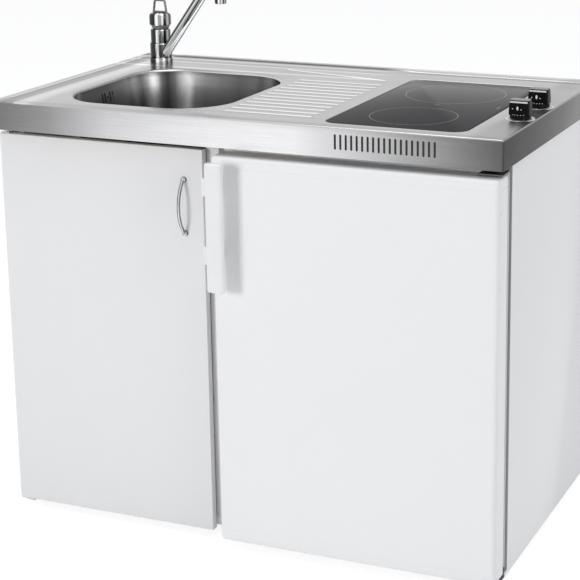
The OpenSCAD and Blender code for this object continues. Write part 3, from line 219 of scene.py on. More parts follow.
class Finish:
    """One finish: a plain shader, to which grain is added on the object's own coordinates."""

    def __init__(self, name, colour, rough, metal=0.0, **sockets):
        self.material = bpy.data.materials.new(name.replace("_", " "))
        self.material.use_nodes = True
        self.nodes = self.material.node_tree.nodes
        self.links = self.material.node_tree.links
        self.shader = self.nodes["Principled BSDF"]
        self.colour = colour
        self.shader.inputs["Base Color"].default_value = (*colour, 1)
        self.shader.inputs["Roughness"].default_value = rough
        self.shader.inputs["Metallic"].default_value = metal
        for socket, value in sockets.items():
            self.shader.inputs[socket.replace("_", " ")].default_value = value
        self.bump = None
        FINISH[name] = self.material

    def feed(self, socket, value):
        """Sets a socket to a number, or links it to another socket."""
        if isinstance(value, (int, float)):
            socket.default_value = value
        else:
            self.links.new(value, socket)

    def reckon(self, operation, a, b=0.0):
        """The outcome of one sum on numbers or sockets."""
        step = self.nodes.new("ShaderNodeMath")
        step.operation = operation
        self.feed(step.inputs[0], a)
        self.feed(step.inputs[1], b)
        return step.outputs[0]

    def along(self, source, axis):
        """One axis of the object's own coordinates, or of the surface's direction."""
        place = self.nodes.new("ShaderNodeTexCoord")
        split = self.nodes.new("ShaderNodeSeparateXYZ")
        self.links.new(place.outputs[source], split.inputs[0])
        return split.outputs[axis]

    def grain(self, stretch, detail=3.0, roughness=0.55):
        """Noise whose size along each axis is 1 / stretch metres."""
        place = self.nodes.new("ShaderNodeTexCoord")
        mapping = self.nodes.new("ShaderNodeMapping")
        mapping.inputs["Scale"].default_value = stretch
        noise = self.nodes.new("ShaderNodeTexNoise")
        noise.inputs["Scale"].default_value = 1.0
        noise.inputs["Detail"].default_value = detail
        noise.inputs["Roughness"].default_value = roughness
        self.links.new(place.outputs["Object"], mapping.inputs["Vector"])
        self.links.new(mapping.outputs["Vector"], noise.inputs["Vector"])
        return noise.outputs["Fac"]

    def tint(self, fac, dark, light, low=0.3, high=0.7):
        """Runs the colour from dark to light, where the pattern goes from low to high."""
        ramp = self.nodes.new("ShaderNodeValToRGB")
        ramp.color_ramp.elements[0].position = low
        ramp.color_ramp.elements[0].color = (*dark, 1)
        ramp.color_ramp.elements[1].position = high
        ramp.color_ramp.elements[1].color = (*light, 1)
        self.links.new(fac, ramp.inputs["Fac"])
        self.links.new(ramp.outputs["Color"], self.shader.inputs["Base Color"])
        return self

    def shade(self, fac, share=0.06):
        """Lightens and darkens the finish's own colour by a small share."""
        dark = [c * (1 - share) for c in self.colour]
        light = [min(1.0, c * (1 + share)) for c in self.colour]
        return self.tint(fac, dark, light)

    def gloss(self, fac, smooth, dull):
        """Lets the roughness follow the pattern."""
        spread = self.nodes.new("ShaderNodeMapRange")
        spread.inputs["From Min"].default_value = 0.3
        spread.inputs["From Max"].default_value = 0.7
        spread.inputs["To Min"].default_value = smooth
        spread.inputs["To Max"].default_value = dull
        self.links.new(fac, spread.inputs["Value"])
        self.links.new(spread.outputs["Result"], self.shader.inputs["Roughness"])
        return self

    def relief(self, fac, depth, strength=1.0):
        """Presses the pattern into the surface, to a depth in metres."""
        bump = self.nodes.new("ShaderNodeBump")
        bump.inputs["Distance"].default_value = depth
        bump.inputs["Strength"].default_value = strength
        self.links.new(fac, bump.inputs["Height"])
        if self.bump:
            self.links.new(self.bump.outputs["Normal"], bump.inputs["Normal"])
        self.links.new(bump.outputs["Normal"], self.shader.inputs["Normal"])
        self.bump = bump
        return self

    def band(self, axis, marks):
        """A brightness read off the object's own X, Y or Z, from (millimetres, factor) marks."""
        back = FRONT if axis == "Y" else 0
        first, last = marks[0][0], marks[-1][0]
        shares = [((at - first) / (last - first), factor) for at, factor in marks]
        low, high = (first - back) * MM, (last - back) * MM
        return self.read_off(self.along("Object", axis), low, high, shares)

    def round_band(self, source, x, y, marks):
        """A brightness read off the direction round an upright line, from (degrees, factor)
        marks."""
        off_y = self.reckon("SUBTRACT", self.along(source, "Y"), y)
        off_x = self.reckon("SUBTRACT", self.along(source, "X"), x)
        shares = [((degrees + 180) / 360, factor) for degrees, factor in marks]
        return self.read_off(self.reckon("ARCTAN2", off_y, off_x), -pi, pi, shares)

    def slope_band(self, axis, marks):
        """A brightness read off how far the surface faces along an axis, from (-1 to 1, factor)
        marks."""
        shares = [((way + 1) / 2, factor) for way, factor in marks]
        return self.read_off(self.along("Normal", axis), -1, 1, shares)

    def read_off(self, value, low, high, marks):
        """A factor read off a value between low and high, from (share, factor) marks in order."""
        spread = self.nodes.new("ShaderNodeMapRange")
        spread.inputs["From Min"].default_value = low
        spread.inputs["From Max"].default_value = high
        self.feed(spread.inputs["Value"], value)
        ramp = self.nodes.new("ShaderNodeValToRGB")
        stops = ramp.color_ramp.elements
        for k, (share, factor) in enumerate(marks):
            stop = stops[0] if k == 0 else stops[-1] if k == len(marks) - 1 else stops.new(share)
            stop.position = share
            stop.color = (factor / 2, factor / 2, factor / 2, 1)
        self.links.new(spread.outputs["Result"], ramp.inputs["Fac"])
        return self.reckon("MULTIPLY", ramp.outputs["Color"], 2.0)

    def blended(self, a, b, share):
        """a where share is 0, b where it is 1."""
        mix = self.nodes.new("ShaderNodeMix")
        for value, socket in ((share, 0), (a, 2), (b, 3)):
            self.feed(mix.inputs[socket], value)
        return mix.outputs[0]

    def brighten(self, factor):
        """Multiplies the colour by a factor."""
        scaled = self.nodes.new("ShaderNodeVectorMath")
        scaled.operation = "SCALE"
        self.links.new(self.shader.inputs["Base Color"].links[0].from_socket, scaled.inputs[0])
        self.links.new(factor, scaled.inputs["Scale"])
        self.links.new(scaled.outputs[0], self.shader.inputs["Base Color"])
        return self


def worktop_finish():
    """Brushed sheet with painted light: painted highlights on the crests of ribs, beads and knob
    rings with painted shade at their feet, painted highlight and shade lines along the pressed
    borders and the front edge, and a painted reflection along the turned-down front edge."""
    done = brushed("worktop_steel", (0.43, 0.43, 0.435), 0.28, (6, 700, 700), 0.00002, 0.07)
    # painted highlight on the crests of ribs, beads and knob rings, painted shade at their feet
    crest = done.band("Z", [
        (820.0, 1.0), (820.1, 0.78), (820.45, 0.95), (820.75, 1.7), (821.5, 2.0)])
    # painted highlight and shade lines along the left border, painted shade towards the right end
    left = done.band("X", [
        (-500, 1.15), (-486, 1.05), (-474, 0.6), (-452, 0.75), (-446, 1.45), (-428, 1.55),
        (-412, 1.15), (-400, 1.0), (100, 1.0), (430, 0.95), (450, 0.75), (500, 0.72)])
    # painted highlight and shade lines along the front edge and the back border, one set behind the
    # bowl and one behind the hob
    painted_lines_behind_bowl = done.band("Y", [
        (0, 1.3), (4, 0.85), (16, 0.82), (24, 1.0), (440, 1.0), (448, 1.7), (462, 1.0), (505, 1.0),
        (512, 1.7), (522, 0.7), (536, 1.0), (548, 1.5), (560, 0.55), (566, 0.2), (584, 0.25),
        (590, 1.6), (600, 1.2)])
    behind_hob = done.band("Y", [
        (0, 1.3), (4, 0.85), (16, 0.82), (24, 1.0), (500, 0.95), (536, 1.1), (547, 0.4),
        (556, 1.6), (570, 0.9), (582, 1.3), (590, 1.8), (600, 1.5)])
    past_step = done.band("X", [(60.0, 0.0), (130.0, 1.0)])
    back = done.blended(painted_lines_behind_bowl, behind_hob, past_step)
    top = done.reckon("MULTIPLY", done.reckon("MULTIPLY", left, back), crest)
    # painted reflection along the turned-down front edge: light in the middle, dark towards both
    # ends
    front = done.band("X", [
        (-500, 0.42), (-380, 0.7), (-250, 1.4), (-40, 1.75), (120, 1.7), (330, 0.8), (440, 0.45),
        (500, 0.28)])
    # the turned-down right end painted dark: painted shade
    side = done.band("X", [(497.0, 0.0), (499.5, 1.0)])
    front_edge_reflection = done.blended(front, 0.09, side)
    low = done.band("Z", [(816.5, 1.0), (818.9, 0.0)])
    done.brighten(done.blended(top, front_edge_reflection, low))


def bowl_finish():
    """Satin drawn steel with painted reflections: light and dark upright bands round the walls,
    and a painted highlight that grows towards the rim. The floor keeps one even factor.
    """
    done = brushed("bowl_steel", (0.42, 0.42, 0.425), 0.24, (260, 260, 40), 0.00001, 0.04)
    painted_reflection_bands = done.round_band("Object", BOWL_X * MM, (BOWL_Y - FRONT) * MM, [
        (-180, 0.22), (-150, 0.35), (-122, 0.9), (-96, 0.4), (-60, 1.2), (-30, 0.5), (0, 0.35),
        (30, 0.6), (50, 0.25), (56, 0.7), (66, 0.4), (79, 0.3), (92, 0.5), (103, 0.9), (112, 1.9),
        (117, 1.2), (121, 0.3), (125, 0.1), (129, 0.35), (133, 1.1), (137, 1.1), (142, 0.5),
        (150, 0.32), (162, 0.26), (180, 0.22)])
    # painted highlight: the walls run lighter towards the rim
    rim = done.band("Z", [(670, 0.9), (690, 0.8), (750, 0.85), (785, 1.0), (800, 1.35), (816, 1.8)])
    wall = done.band("Z", [(672.0, 0.0), (700.0, 1.0)])
    done.brighten(done.blended(0.7, done.reckon("MULTIPLY", painted_reflection_bands, rim), wall))


def moulded(name, colour, rough, pitch=500, depth=0.00004, **sockets):
    """Moulded plastic: a fine even texture and a little unevenness of gloss."""
    done = Finish(name, colour, rough, **sockets)
    fine = done.grain((pitch, pitch, pitch), 2)
    broad = done.grain((9, 9, 9), 3)
    return done.shade(broad, 0.03).gloss(broad, rough * 0.85, rough * 1.15).relief(fine, depth)


def brushed(name, colour, rough, stretch, depth=0.00003, share=0.10):
    """Steel with straight brush lines."""
    done = Finish(name, colour, rough, 1.0)
    lines = done.grain(stretch, 4, 0.6)
    broad = done.grain((5, 5, 5), 2)
    done.shade(lines, share).gloss(broad, rough * 0.82, rough * 1.18)
    return done.relief(lines, depth, 0.5)


def hob_glass_finish():
    """Dark glass ceramic with the zones' printed rings and two short printed strokes."""
    dark, print_grey = (0.048, 0.048, 0.05), (0.26, 0.26, 0.26)
    line_half, stroke_half = 0.0007, 0.0013
    strokes = ((405, 262, (1, 0.12)), (292, 251, (0.2, 1)))
    done = Finish("hob_glass", dark, 0.08, Specular_IOR_Level=0.004)

    def length_from(x, y, squeeze=(1, 1)):
        place = done.nodes.new("ShaderNodeTexCoord")
        off = done.nodes.new("ShaderNodeMapping")
        off.vector_type = "POINT"
        sx, sy = squeeze
        off.inputs["Location"].default_value = (-x * MM * sx, -(y - FRONT) * MM * sy, 0)
        off.inputs["Scale"].default_value = (sx, sy, 0)
        size = done.nodes.new("ShaderNodeVectorMath")
        size.operation = "LENGTH"
        done.links.new(place.outputs["Object"], off.inputs["Vector"])
        done.links.new(off.outputs["Vector"], size.inputs[0])
        return size.outputs["Value"]

    def ring(y, radius):
        off = done.reckon("SUBTRACT", length_from(HOB_X, y), radius * MM)
        return done.reckon("LESS_THAN", done.reckon("ABSOLUTE", off), line_half)

    print_mask = done.reckon("MAXIMUM", ring(*FRONT_ZONE), ring(*REAR_ZONE))
    for x, y, squeeze in strokes:
        stroke = done.reckon("LESS_THAN", length_from(x, y, squeeze), stroke_half)
        print_mask = done.reckon("MAXIMUM", print_mask, stroke)
    done.tint(print_mask, dark, print_grey, 0.0, 1.0)
    done.gloss(done.grain((7, 7, 7), 3), 0.045, 0.085)


def chrome_finishes():
    """Chrome with painted reflections: the dark and light sides that polished metal shows in a
    white room, painted by which way the surface faces, and a dark chrome for the lever's loop.
    """
    done = Finish("chrome", (0.62, 0.625, 0.63), 0.05, 1.0)
    done.tint(done.grain((30, 30, 30)), (0.60, 0.605, 0.61), (0.64, 0.645, 0.65))
    # painted reflection: dark and light bands by the direction the surface faces round an upright
    # line
    done.brighten(done.round_band("Normal", 0, 0, [
        (-180, 1.2), (-162, 0.7), (-152, 0.25), (-140, 0.08), (-94, 0.06), (-87, 1.6), (-77, 1.6),
        (-72, 0.6), (-59, 0.5), (-54, 1.4), (-48, 1.4), (-43, 0.12), (-30, 0.1), (-26, 0.8),
        (-15, 0.6), (-10, 0.12), (3, 0.15), (11, 0.9), (30, 1.2), (60, 0.4), (90, 1.3), (120, 0.5),
        (150, 1.2), (180, 1.2)]))
    done.gloss(done.grain((30, 30, 30)), 0.035, 0.08)
    done = Finish("spout_chrome", (0.62, 0.625, 0.63), 0.05, 1.0)
    done.tint(done.grain((30, 30, 30)), (0.64, 0.645, 0.65), (0.70, 0.705, 0.71))
    # painted reflection: dark and light bands by how far the tube faces along X
    done.brighten(done.slope_band("X", [
        (-1, 0.9), (-0.86, 0.9), (-0.77, 0.08), (-0.46, 0.06), (-0.37, 0.95), (0.3, 1.1),
        (0.55, 1.15), (0.68, 0.35), (0.78, 0.9), (1, 1.0)]))
    done.gloss(done.grain((30, 30, 30)), 0.05, 0.10)
    # painted reflection: the loop's chrome is dark, standing for the dark things it mirrors
    done = Finish("loop_chrome", (0.20, 0.20, 0.205), 0.06, 1.0)
    done.gloss(done.grain((40, 40, 40)), 0.04, 0.09)


def make_finishes():
    worktop_finish()
    bowl_finish()
    brushed("strainer_steel", (0.42, 0.42, 0.425), 0.24, (90, 90, 90), 0.00001, 0.08)
    chrome_finishes()
    for name, colour in (("white_board", (0.84, 0.84, 0.835)), ("door_board", (0.84, 0.84, 0.84))):
        done = Finish(name, colour, 0.42)
        broad = done.grain((6, 6, 6))
        done.shade(broad, 0.004).gloss(broad, 0.40, 0.44)
        done.relief(done.grain((900, 900, 900), 2), 0.000006)
    done = Finish("white_paint", (0.89, 0.89, 0.893), 0.32, Coat_Weight=0.15, Coat_Roughness=0.15)
    broad = done.grain((5, 5, 5))
    done.shade(broad, 0.004).gloss(broad, 0.30, 0.34)
    done.relief(done.grain((420, 420, 420), 2), 0.000003)
    moulded("white_plastic", (0.87, 0.87, 0.87), 0.34)
    moulded("liner_plastic", (0.88, 0.885, 0.89), 0.30, 160, 0.00003)
    moulded("pipe_plastic", (0.82, 0.82, 0.81), 0.38)
    moulded("grey_plastic", (0.22, 0.22, 0.225), 0.5)
    moulded("black_plastic", (0.006, 0.006, 0.0065), 0.34, 700, 0.00001, Specular_IOR_Level=0.06)
    # grey for the knobs' tops: painted highlight
    moulded("knob_top_highlight", (0.16, 0.16, 0.165), 0.36, 700, 0.00001)
    moulded("edge_plastic", (0.13, 0.13, 0.135), 0.5)
    moulded("black_rubber", (0.02, 0.02, 0.02), 0.75)
    moulded("gasket_rubber", (0.15, 0.15, 0.155), 0.62)
    # light grey for the knobs' printed marks and for their painted edge highlight
    moulded("dial_print_and_highlight", (0.75, 0.75, 0.76), 0.4)
    brushed("zinc_steel", (0.60, 0.61, 0.62), 0.38, (90, 90, 90), 0.00004, 0.14)
    # a dark copy of the zinc finish for the hinges: painted shade under the worktop
    brushed("hinge_zinc_shaded", (0.16, 0.16, 0.165), 0.5, (90, 90, 90), 0.00004, 0.14)
    brushed("aluminium", (0.74, 0.76, 0.78), 0.34, (12, 300, 300))
    done = Finish("brass", (0.72, 0.55, 0.26), 0.28, 1.0)
    done.shade(done.grain((60, 60, 60)), 0.08).gloss(done.grain((40, 40, 40)), 0.2, 0.36)
    done = Finish("copper", (0.72, 0.38, 0.24), 0.26, 1.0)
    done.shade(done.grain((70, 70, 12)), 0.15).gloss(done.grain((40, 40, 40)), 0.2, 0.4)
    hob_glass_finish()
    done = Finish("heater_ceramic", (0.55, 0.52, 0.47), 0.85)
    done.shade(done.grain((220, 220, 220)), 0.15).relief(done.grain((400, 400, 400)), 0.0002)
    # real black paint on the condenser; on the hob tray and the sheet behind the air slots it is
    # painted shade
    done = Finish("black_paint", (0.018, 0.018, 0.018), 0.34)
    done.gloss(done.grain((50, 50, 50)), 0.28, 0.42).relief(done.grain((300, 300, 300)), 0.00004)
    done = Finish("compressor_black", (0.02, 0.02, 0.02), 0.42)
    done.gloss(done.grain((50, 50, 50)), 0.34, 0.52).relief(done.grain((260, 260, 260)), 0.00008)
    done = Finish("foam", (0.80, 0.72, 0.48), 0.9)
    done.shade(done.grain((120, 120, 120)), 0.1).relief(done.grain((600, 600, 600)), 0.0003)
    done = Finish("raw_wood", (0.62, 0.45, 0.27), 0.62)
    lines = done.grain((8, 160, 160), 5, 0.65)
    done.tint(lines, (0.50, 0.34, 0.18), (0.68, 0.50, 0.31)).relief(lines, 0.0002)
    done = Finish("hardboard", (0.36, 0.23, 0.13), 0.7)
    fibres = done.grain((140, 140, 140), 5)
    done.tint(fibres, (0.30, 0.19, 0.10), (0.42, 0.28, 0.16)).relief(fibres, 0.0001)
    clear = moulded("clear_plastic", (0.88, 0.93, 0.95), 0.12, 90, 0.00003,
                    Transmission_Weight=0.82, IOR=1.49)
    clear.gloss(clear.grain((20, 20, 20)), 0.08, 0.18)
    sheet = Finish("shelf_glass", (0.82, 0.93, 0.90), 0.03, Transmission_Weight=0.92, IOR=1.5)
    sheet.gloss(sheet.grain((10, 10, 10)), 0.02, 0.06)


# ---------- ways of shaping ----------

def put_together(*parts):
    """Joins several shapes into one."""
    whole = bmesh.new()
    for part in parts:
        mesh = bpy.data.meshes.new("part")
        part.to_mesh(mesh)
        part.free()
        whole.from_mesh(mesh)
        bpy.data.meshes.remove(mesh)
    return whole


def moved(bm, *steps):
    """Moves a shape by matrices, the last one first."""
    for step in reversed(steps):
        bmesh.ops.transform(bm, matrix=step, verts=bm.verts)
    return bm


def shift(x, y, z):
    return Matrix.Translation((x, y, z))


def turn(angle, axis):
    return Matrix.Rotation(radians(angle), 4, axis)


def outline(x, y, w, d, r, n):
    """Points of a rectangle with round corners. r is one radius, or (front, back)."""
    front, back = r if isinstance(r, tuple) else (r, r)
    points = []
    for corner, (sx, sy) in enumerate(((1, 1), (-1, 1), (-1, -1), (1, -1))):
        rr = max(0.01, min(back if sy > 0 else front, w / 2 - 0.005, d / 2 - 0.005))
        mid_x, mid_y = x + sx * (w / 2 - rr), y + sy * (d / 2 - rr)
        for k in range(n):
            a = (corner + k / (n - 1)) * pi / 2
            points.append((mid_x + rr * cos(a), mid_y + rr * sin(a)))
    return points


def ring_edges(bm, ring):
    """The edges of a closed ring of vertices."""
    return [bm.edges.get((a, b)) for a, b in zip(ring, ring[1:] + ring[:1])]


def first_ring(bm, count):
    """A closed ring of vertices, still to be put in its place."""
    return bmesh.ops.create_circle(bm, cap_ends=False, segments=count, radius=1)["verts"]


def next_ring(bm, ring):
    """Extrudes a closed ring of vertices and gives the new ring in the same order."""
    made = bmesh.ops.extrude_edge_only(bm, edges=ring_edges(bm, ring))["geom"]
    fresh = {v for v in made if isinstance(v, bmesh.types.BMVert)}
    return [next(e.other_vert(v) for e in v.link_edges if e.other_vert(v) in fresh) for v in ring]


def rings_through(bm, levels, n):
    """Draws a wall through level outlines, each (x, y, w, d, r, z). Gives its two end rings."""
    ring = first_ring(bm, 4 * n)
    first = None
    for level in levels:
        if first:
            ring = next_ring(bm, ring)
        for v, (px, py) in zip(ring, outline(*level[:5], n)):
            v.co = (px, py, level[5])
        first = first or ring
    return first, ring


def lofted(levels, n=7, capped=True):
    """A shape through level outlines, each (x, y, w, d, r, z)."""
    bm = bmesh.new()
    for ring in rings_through(bm, levels, n):
        if capped:
            bm.faces.new(ring)
    return bm


def quarter(steps):
    """The angles of a quarter turn."""
    return [pi / 2 * k / steps for k in range(steps + 1)]


def block(x, y, z, r=1.0, soft=0.8):
    """A board or housing with round upright corners and softened ends."""
    mid_x, mid_y = sum(x) / 2, sum(y) / 2
    w, d = x[1] - x[0], y[1] - y[0]
    ends = ((soft, 0), (soft * 0.3, soft * 0.3), (0, soft))
    levels = [(inset, z[0] + up) for inset, up in ends]
    levels += [(inset, z[1] - down) for inset, down in reversed(ends)]
    return lofted([(mid_x, mid_y, w - 2 * i, d - 2 * i, r - i, at) for i, at in levels], 4)


def turned(profile, steps=48):
    """A shape turned round the Z axis from its half section, listed as (radius, height)."""
    bm = bmesh.new()
    line = [bm.verts.new((r, 0, z)) for r, z in profile]
    edges = [bm.edges.new(pair) for pair in zip(line, line[1:])]
    bmesh.ops.spin(bm, geom=line + edges, cent=(0, 0, 0), axis=(0, 0, 1), angle=2 * pi,
                   steps=steps, use_merge=True)
    bmesh.ops.remove_doubles(bm, verts=bm.verts, dist=0.0005)
    return bm


def rod(points, d, sides=14):
    """A round bar along a line of points."""
    curve = bpy.data.curves.new("rod", "CURVE")
    curve.dimensions = "3D"
    spline = curve.splines.new("POLY")
    spline.points.add(len(points) - 1)
    for knot, point in zip(spline.points, points):
        knot.co = (*point, 1)
    curve.bevel_depth = d / 2
    curve.bevel_resolution = sides // 4
    curve.use_fill_caps = True
    made = bpy.data.objects.new("rod", curve)
    mesh = bpy.data.meshes.new_from_object(made)
    bm = bmesh.new()
    bm.from_mesh(mesh)
    bmesh.ops.remove_doubles(bm, verts=bm.verts, dist=0.0005)
    bpy.data.objects.remove(made)
    bpy.data.curves.remove(curve)
    bpy.data.meshes.remove(mesh)
    return bm


def arc(centre, r, a0, a1, n, flat=False):
    """Points of an arc in degrees, upright in the XZ plane or flat in the XY plane."""
    points = []
    for k in range(n + 1):
        a = radians(a0 + (a1 - a0) * k / n)
        u, v = r * cos(a), r * sin(a)
        points.append(Vector(centre) + Vector((u, v, 0) if flat else (u, 0, v)))
    return points


def slot_cutter(long, wide, low, high, x=0):
    """A cutter for a slot with round ends, or for a round hole."""
    return lofted([(x, 0, long, wide, min(long, wide) / 2, z) for z in (low, high)], 5)


def to_frame(bm):
    """Puts a shape that is drawn in millimetres from the floor's front into the frame's metres."""
    bmesh.ops.translate(bm, vec=(0, -FRONT, 0), verts=bm.verts)
    bmesh.ops.scale(bm, vec=(MM, MM, MM), verts=bm.verts)


def give_wall(made, wall, cutters):
    """Gives a pressed surface its wall inwards, and cuts its slots."""
    thick = made.modifiers.new("sheet", "SOLIDIFY")
    thick.thickness = wall * MM
    thick.offset = -1
    to_frame(cutters)
    bmesh.ops.recalc_face_normals(cutters, faces=cutters.faces)
    tool = placed("cutter", cutters)
    cut = made.modifiers.new("slots", "BOOLEAN")
    cut.operation = "DIFFERENCE"
    cut.object = tool
    cut.solver = "EXACT"
    graph = bpy.context.evaluated_depsgraph_get()
    done = bpy.data.meshes.new_from_object(made.evaluated_get(graph))
    made.modifiers.clear()
    surface, tool_mesh = made.data, tool.data
    made.data = done
    bpy.data.objects.remove(tool)
    for mesh in (surface, tool_mesh):
        bpy.data.meshes.remove(mesh)


def piece(name, bm, body, finish, stands_for=(), sharp=32, wall=0.0, cutters=None):
    """Puts a finished shape into the frame, on its body, in place of its CAD nodes."""
    bmesh.ops.remove_doubles(bm, verts=bm.verts, dist=0.0008)
    if not wall:
        bmesh.ops.recalc_face_normals(bm, faces=bm.faces)
    to_frame(bm)
    made = placed(name, bm)
    if wall:
        give_wall(made, wall, cutters)
    edge_finish(made.data, sharp)
    made.data.name = name
    made.data.materials.clear()
    made.data.materials.append(FINISH[finish])
    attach(made, body)
    if stands_for:
        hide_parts(*stands_for)


def edge_finish(mesh, sharp):
    """Smooth faces, with a crisp edge wherever two faces meet at more than the given angle."""
    bm = bmesh.new()
    bm.from_mesh(mesh)
    for face in bm.faces:
        face.smooth = True
    for edge in bm.edges:
        edge.smooth = len(edge.link_faces) == 2 and edge.calc_face_angle(0) < radians(sharp)
    bm.to_mesh(mesh)
    bm.free()


def softened(node, finish, width):
    """A copy of a CAD node with its flat faces joined up and its hard edges eased."""
    bm = bmesh.new()
    bm.from_mesh(frame["nodes"][node].data)
    bmesh.ops.scale(bm, vec=(1 / MM,) * 3, verts=bm.verts)
    bmesh.ops.translate(bm, vec=(0, FRONT, 0), verts=bm.verts)
    bmesh.ops.remove_doubles(bm, verts=bm.verts, dist=0.002)
    bmesh.ops.dissolve_limit(bm, angle_limit=radians(1), verts=bm.verts, edges=bm.edges)
    hard = [e for e in bm.edges
            if len(e.link_faces) == 2 and e.calc_face_angle(0) > radians(40)]
    if width and hard:
        bmesh.ops.bevel(bm, geom=hard, offset=width, offset_type="OFFSET", affect="EDGES",
                        segments=2, profile=0.5, material=-1, clamp_overlap=True)
    piece(node + "_eased", bm, frame["nodes"][node]["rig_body"], finish, (node,))


# ---------- worktop ----------

# the raised ring and the shaft's hole under each knob, as (radius, height above the top)
KNOB_RING = [(28, 0), (26.8, 0.4), (25.6, 1.15), (24.4, 1.35), (23.2, 0.9), (22, 0), (21, -0.25),
             (6.2, -0.25), (5.8, -0.8)]


def track_outline(points, half):
    """The closed outline round a line of points, with round ends."""
    end_steps = 6
    left, right = [], []
    for k, (x, y) in enumerate(points):
        ax, ay = points[max(k - 1, 0)]
        bx, by = points[min(k + 1, len(points) - 1)]
        size = hypot(bx - ax, by - ay)
        nx, ny = -(by - ay) / size, (bx - ax) / size
        left.append((x + nx * half, y + ny * half))
        right.append((x - nx * half, y - ny * half))

    def cap(middle, start):
        a0 = atan2(start[1] - middle[1], start[0] - middle[0])
        angles = [a0 - pi * k / end_steps for k in range(1, end_steps)]
        return [(middle[0] + half * cos(a), middle[1] + half * sin(a)) for a in angles]

    return left + cap(points[-1], left[-1]) + right[::-1] + cap(points[0], right[0])


def pressed(bm, points, half, height):
    """A pressed rib or bead along a line: gives its foot ring, and leaves its crest closed."""
    ring = None
    steps = 5
    for k in range(steps):
        share = k / (steps - 1)
        narrow = half * (1 - 0.86 * share)
        lift = height * (1 - cos(pi * share)) / 2
        places = track_outline(points, narrow)
        if ring:
            ring = next_ring(bm, ring)
        else:
            ring = foot = first_ring(bm, len(places))
        for v, (x, y) in zip(ring, places):
            v.co = (x, y, TOP_Z + lift)
    bm.faces.new(ring)
    return foot


def opening(bm, levels, n):
    """An opening pressed through the sheet. Gives its outer ring, at the top."""
    return rings_through(bm, levels, n)[0]


def rolled(x, y, w, d, r, out, drop, steps=5):
    """Levels of an edge that rolls down into an opening."""
    levels = []
    for a in quarter(steps):
        grow = out * (1 - sin(a))
        z = TOP_Z - drop * (1 - cos(a))
        levels.append((x, y, w + 2 * grow, d + 2 * grow, r + grow, z))
    return levels


def bead_line():
    """The bead along the left and back edges, with its round corner and the step by the drainer."""
    left, back, behind_hob = -478.0, 570.0, 554
    line = [(left, 40 + 48 * k) for k in range(11)]
    line += [(p.x, p.y) for p in arc((left + 40, back - 40, 0), 40, 180, 90, 6, flat=True)]
    line += [(left + 40 + 60 * k, back) for k in range(1, 9)]
    line += [(88, 569.5), (104, 567), (120, 562), (136, 557), (152, 554.5), (172, behind_hob)]
    line += [(172 + 48.5 * k, behind_hob) for k in range(1, 7)]
    return line


def make_worktop():
    """The whole sheet in one pressing: edge, openings, knob rings, ribs, beads and air slots."""
    bm = bmesh.new()
    edge = [(EDGE_ROLL * (1 - sin(a)), TOP_Z - EDGE_ROLL * (1 - cos(a))) for a in quarter(5)]
    edge += [(0, APRON_Z + 0.6), (0.25, APRON_Z + 0.15), (0.9, APRON_Z)]
    rim = []
    for i, z in edge:
        rim.append((0, TOP_D / 2, TOP_W - 2 * i, TOP_D - 2 * i, max(TOP_R + 1.5 - i, 0.3), z))
    feet = [opening(bm, rim, 4)]
    feet.append(opening(bm, rolled(BOWL_X, BOWL_Y, BOWL_W, BOWL_D, BOWL_R, out=9, drop=5.2), 14))
    gap = 0.35
    hob_well = rolled(HOB_X, HOB_Y, HOB_W + 2 * gap, HOB_D + 2 * gap, HOB_R + gap, out=1.6,
                      drop=4.6, steps=3)
    feet.append(opening(bm, hob_well, 8))
    tap_hole = [(TAP_X, TAP_Y, 36, 36, 18, TOP_Z), (TAP_X, TAP_Y, 35, 35, 17.5, TOP_Z - 1)]
    feet.append(opening(bm, tap_hole, 6))
    for y in (FRONT_KNOB_Y, REAR_KNOB_Y):
        knob_ring = [(KNOB_X, y, 2 * r, 2 * r, r, TOP_Z + up) for r, up in KNOB_RING]
        feet.append(opening(bm, knob_ring, 10))
    for k in range(RIB_COUNT):
        y = RIB_Y0 + k * RIB_STEP
        line = [(RIB_X0 + (RIB_X1 - RIB_X0) * j / 4, y) for j in range(5)]
        feet.append(pressed(bm, line, RIB_W / 2, RIB_H))
    long_rib = [(LONG_RIB_X + LONG_RIB_LENGTH * cos(LONG_RIB_TURN) * j / 8,
                 LONG_RIB_Y + LONG_RIB_LENGTH * sin(LONG_RIB_TURN) * j / 8) for j in range(9)]
    feet.append(pressed(bm, long_rib, RIB_W / 2, RIB_H))
    feet.append(pressed(bm, bead_line(), BEAD_W / 2, RIB_H))
    edges = [e for ring in feet for e in ring_edges(bm, ring)]
    bmesh.ops.triangle_fill(bm, use_beauty=True, use_dissolve=False, edges=edges,
                            normal=(0, 0, 1))
    bmesh.ops.recalc_face_normals(bm, faces=bm.faces)
    if max(bm.faces, key=lambda f: f.calc_area()).normal.z < 0:
        bmesh.ops.reverse_faces(bm, faces=bm.faces)
    cutters = []
    for k in range(AIR_SLOTS):
        x = HOB_X + (k - AIR_SLOTS // 2) * AIR_SLOT_STEP
        slot = slot_cutter(AIR_SLOT_W, AIR_SLOT_H, -3, 8, x)
        middle_z = TOP_Z - AIR_SLOT_DROP - AIR_SLOT_H / 2
        cutters.append(moved(slot, shift(0, 0, middle_z), turn(-90, "X")))
    # a black sheet behind the air slots: painted shade, so that the slots look dark inside
    shade_behind_vents = block((HOB_X - 98, HOB_X + 98), (1.7, 2.5), (779, 811), 0.3, 0.2)
    piece("vent_shade_sheet", shade_behind_vents, "root", "black_paint")
    piece("worktop_pressing", bm, "root", "worktop_steel", ("worktop_sheet",), sharp=28,
          wall=TOP_WALL, cutters=put_together(*cutters))


# ---------- sink ----------

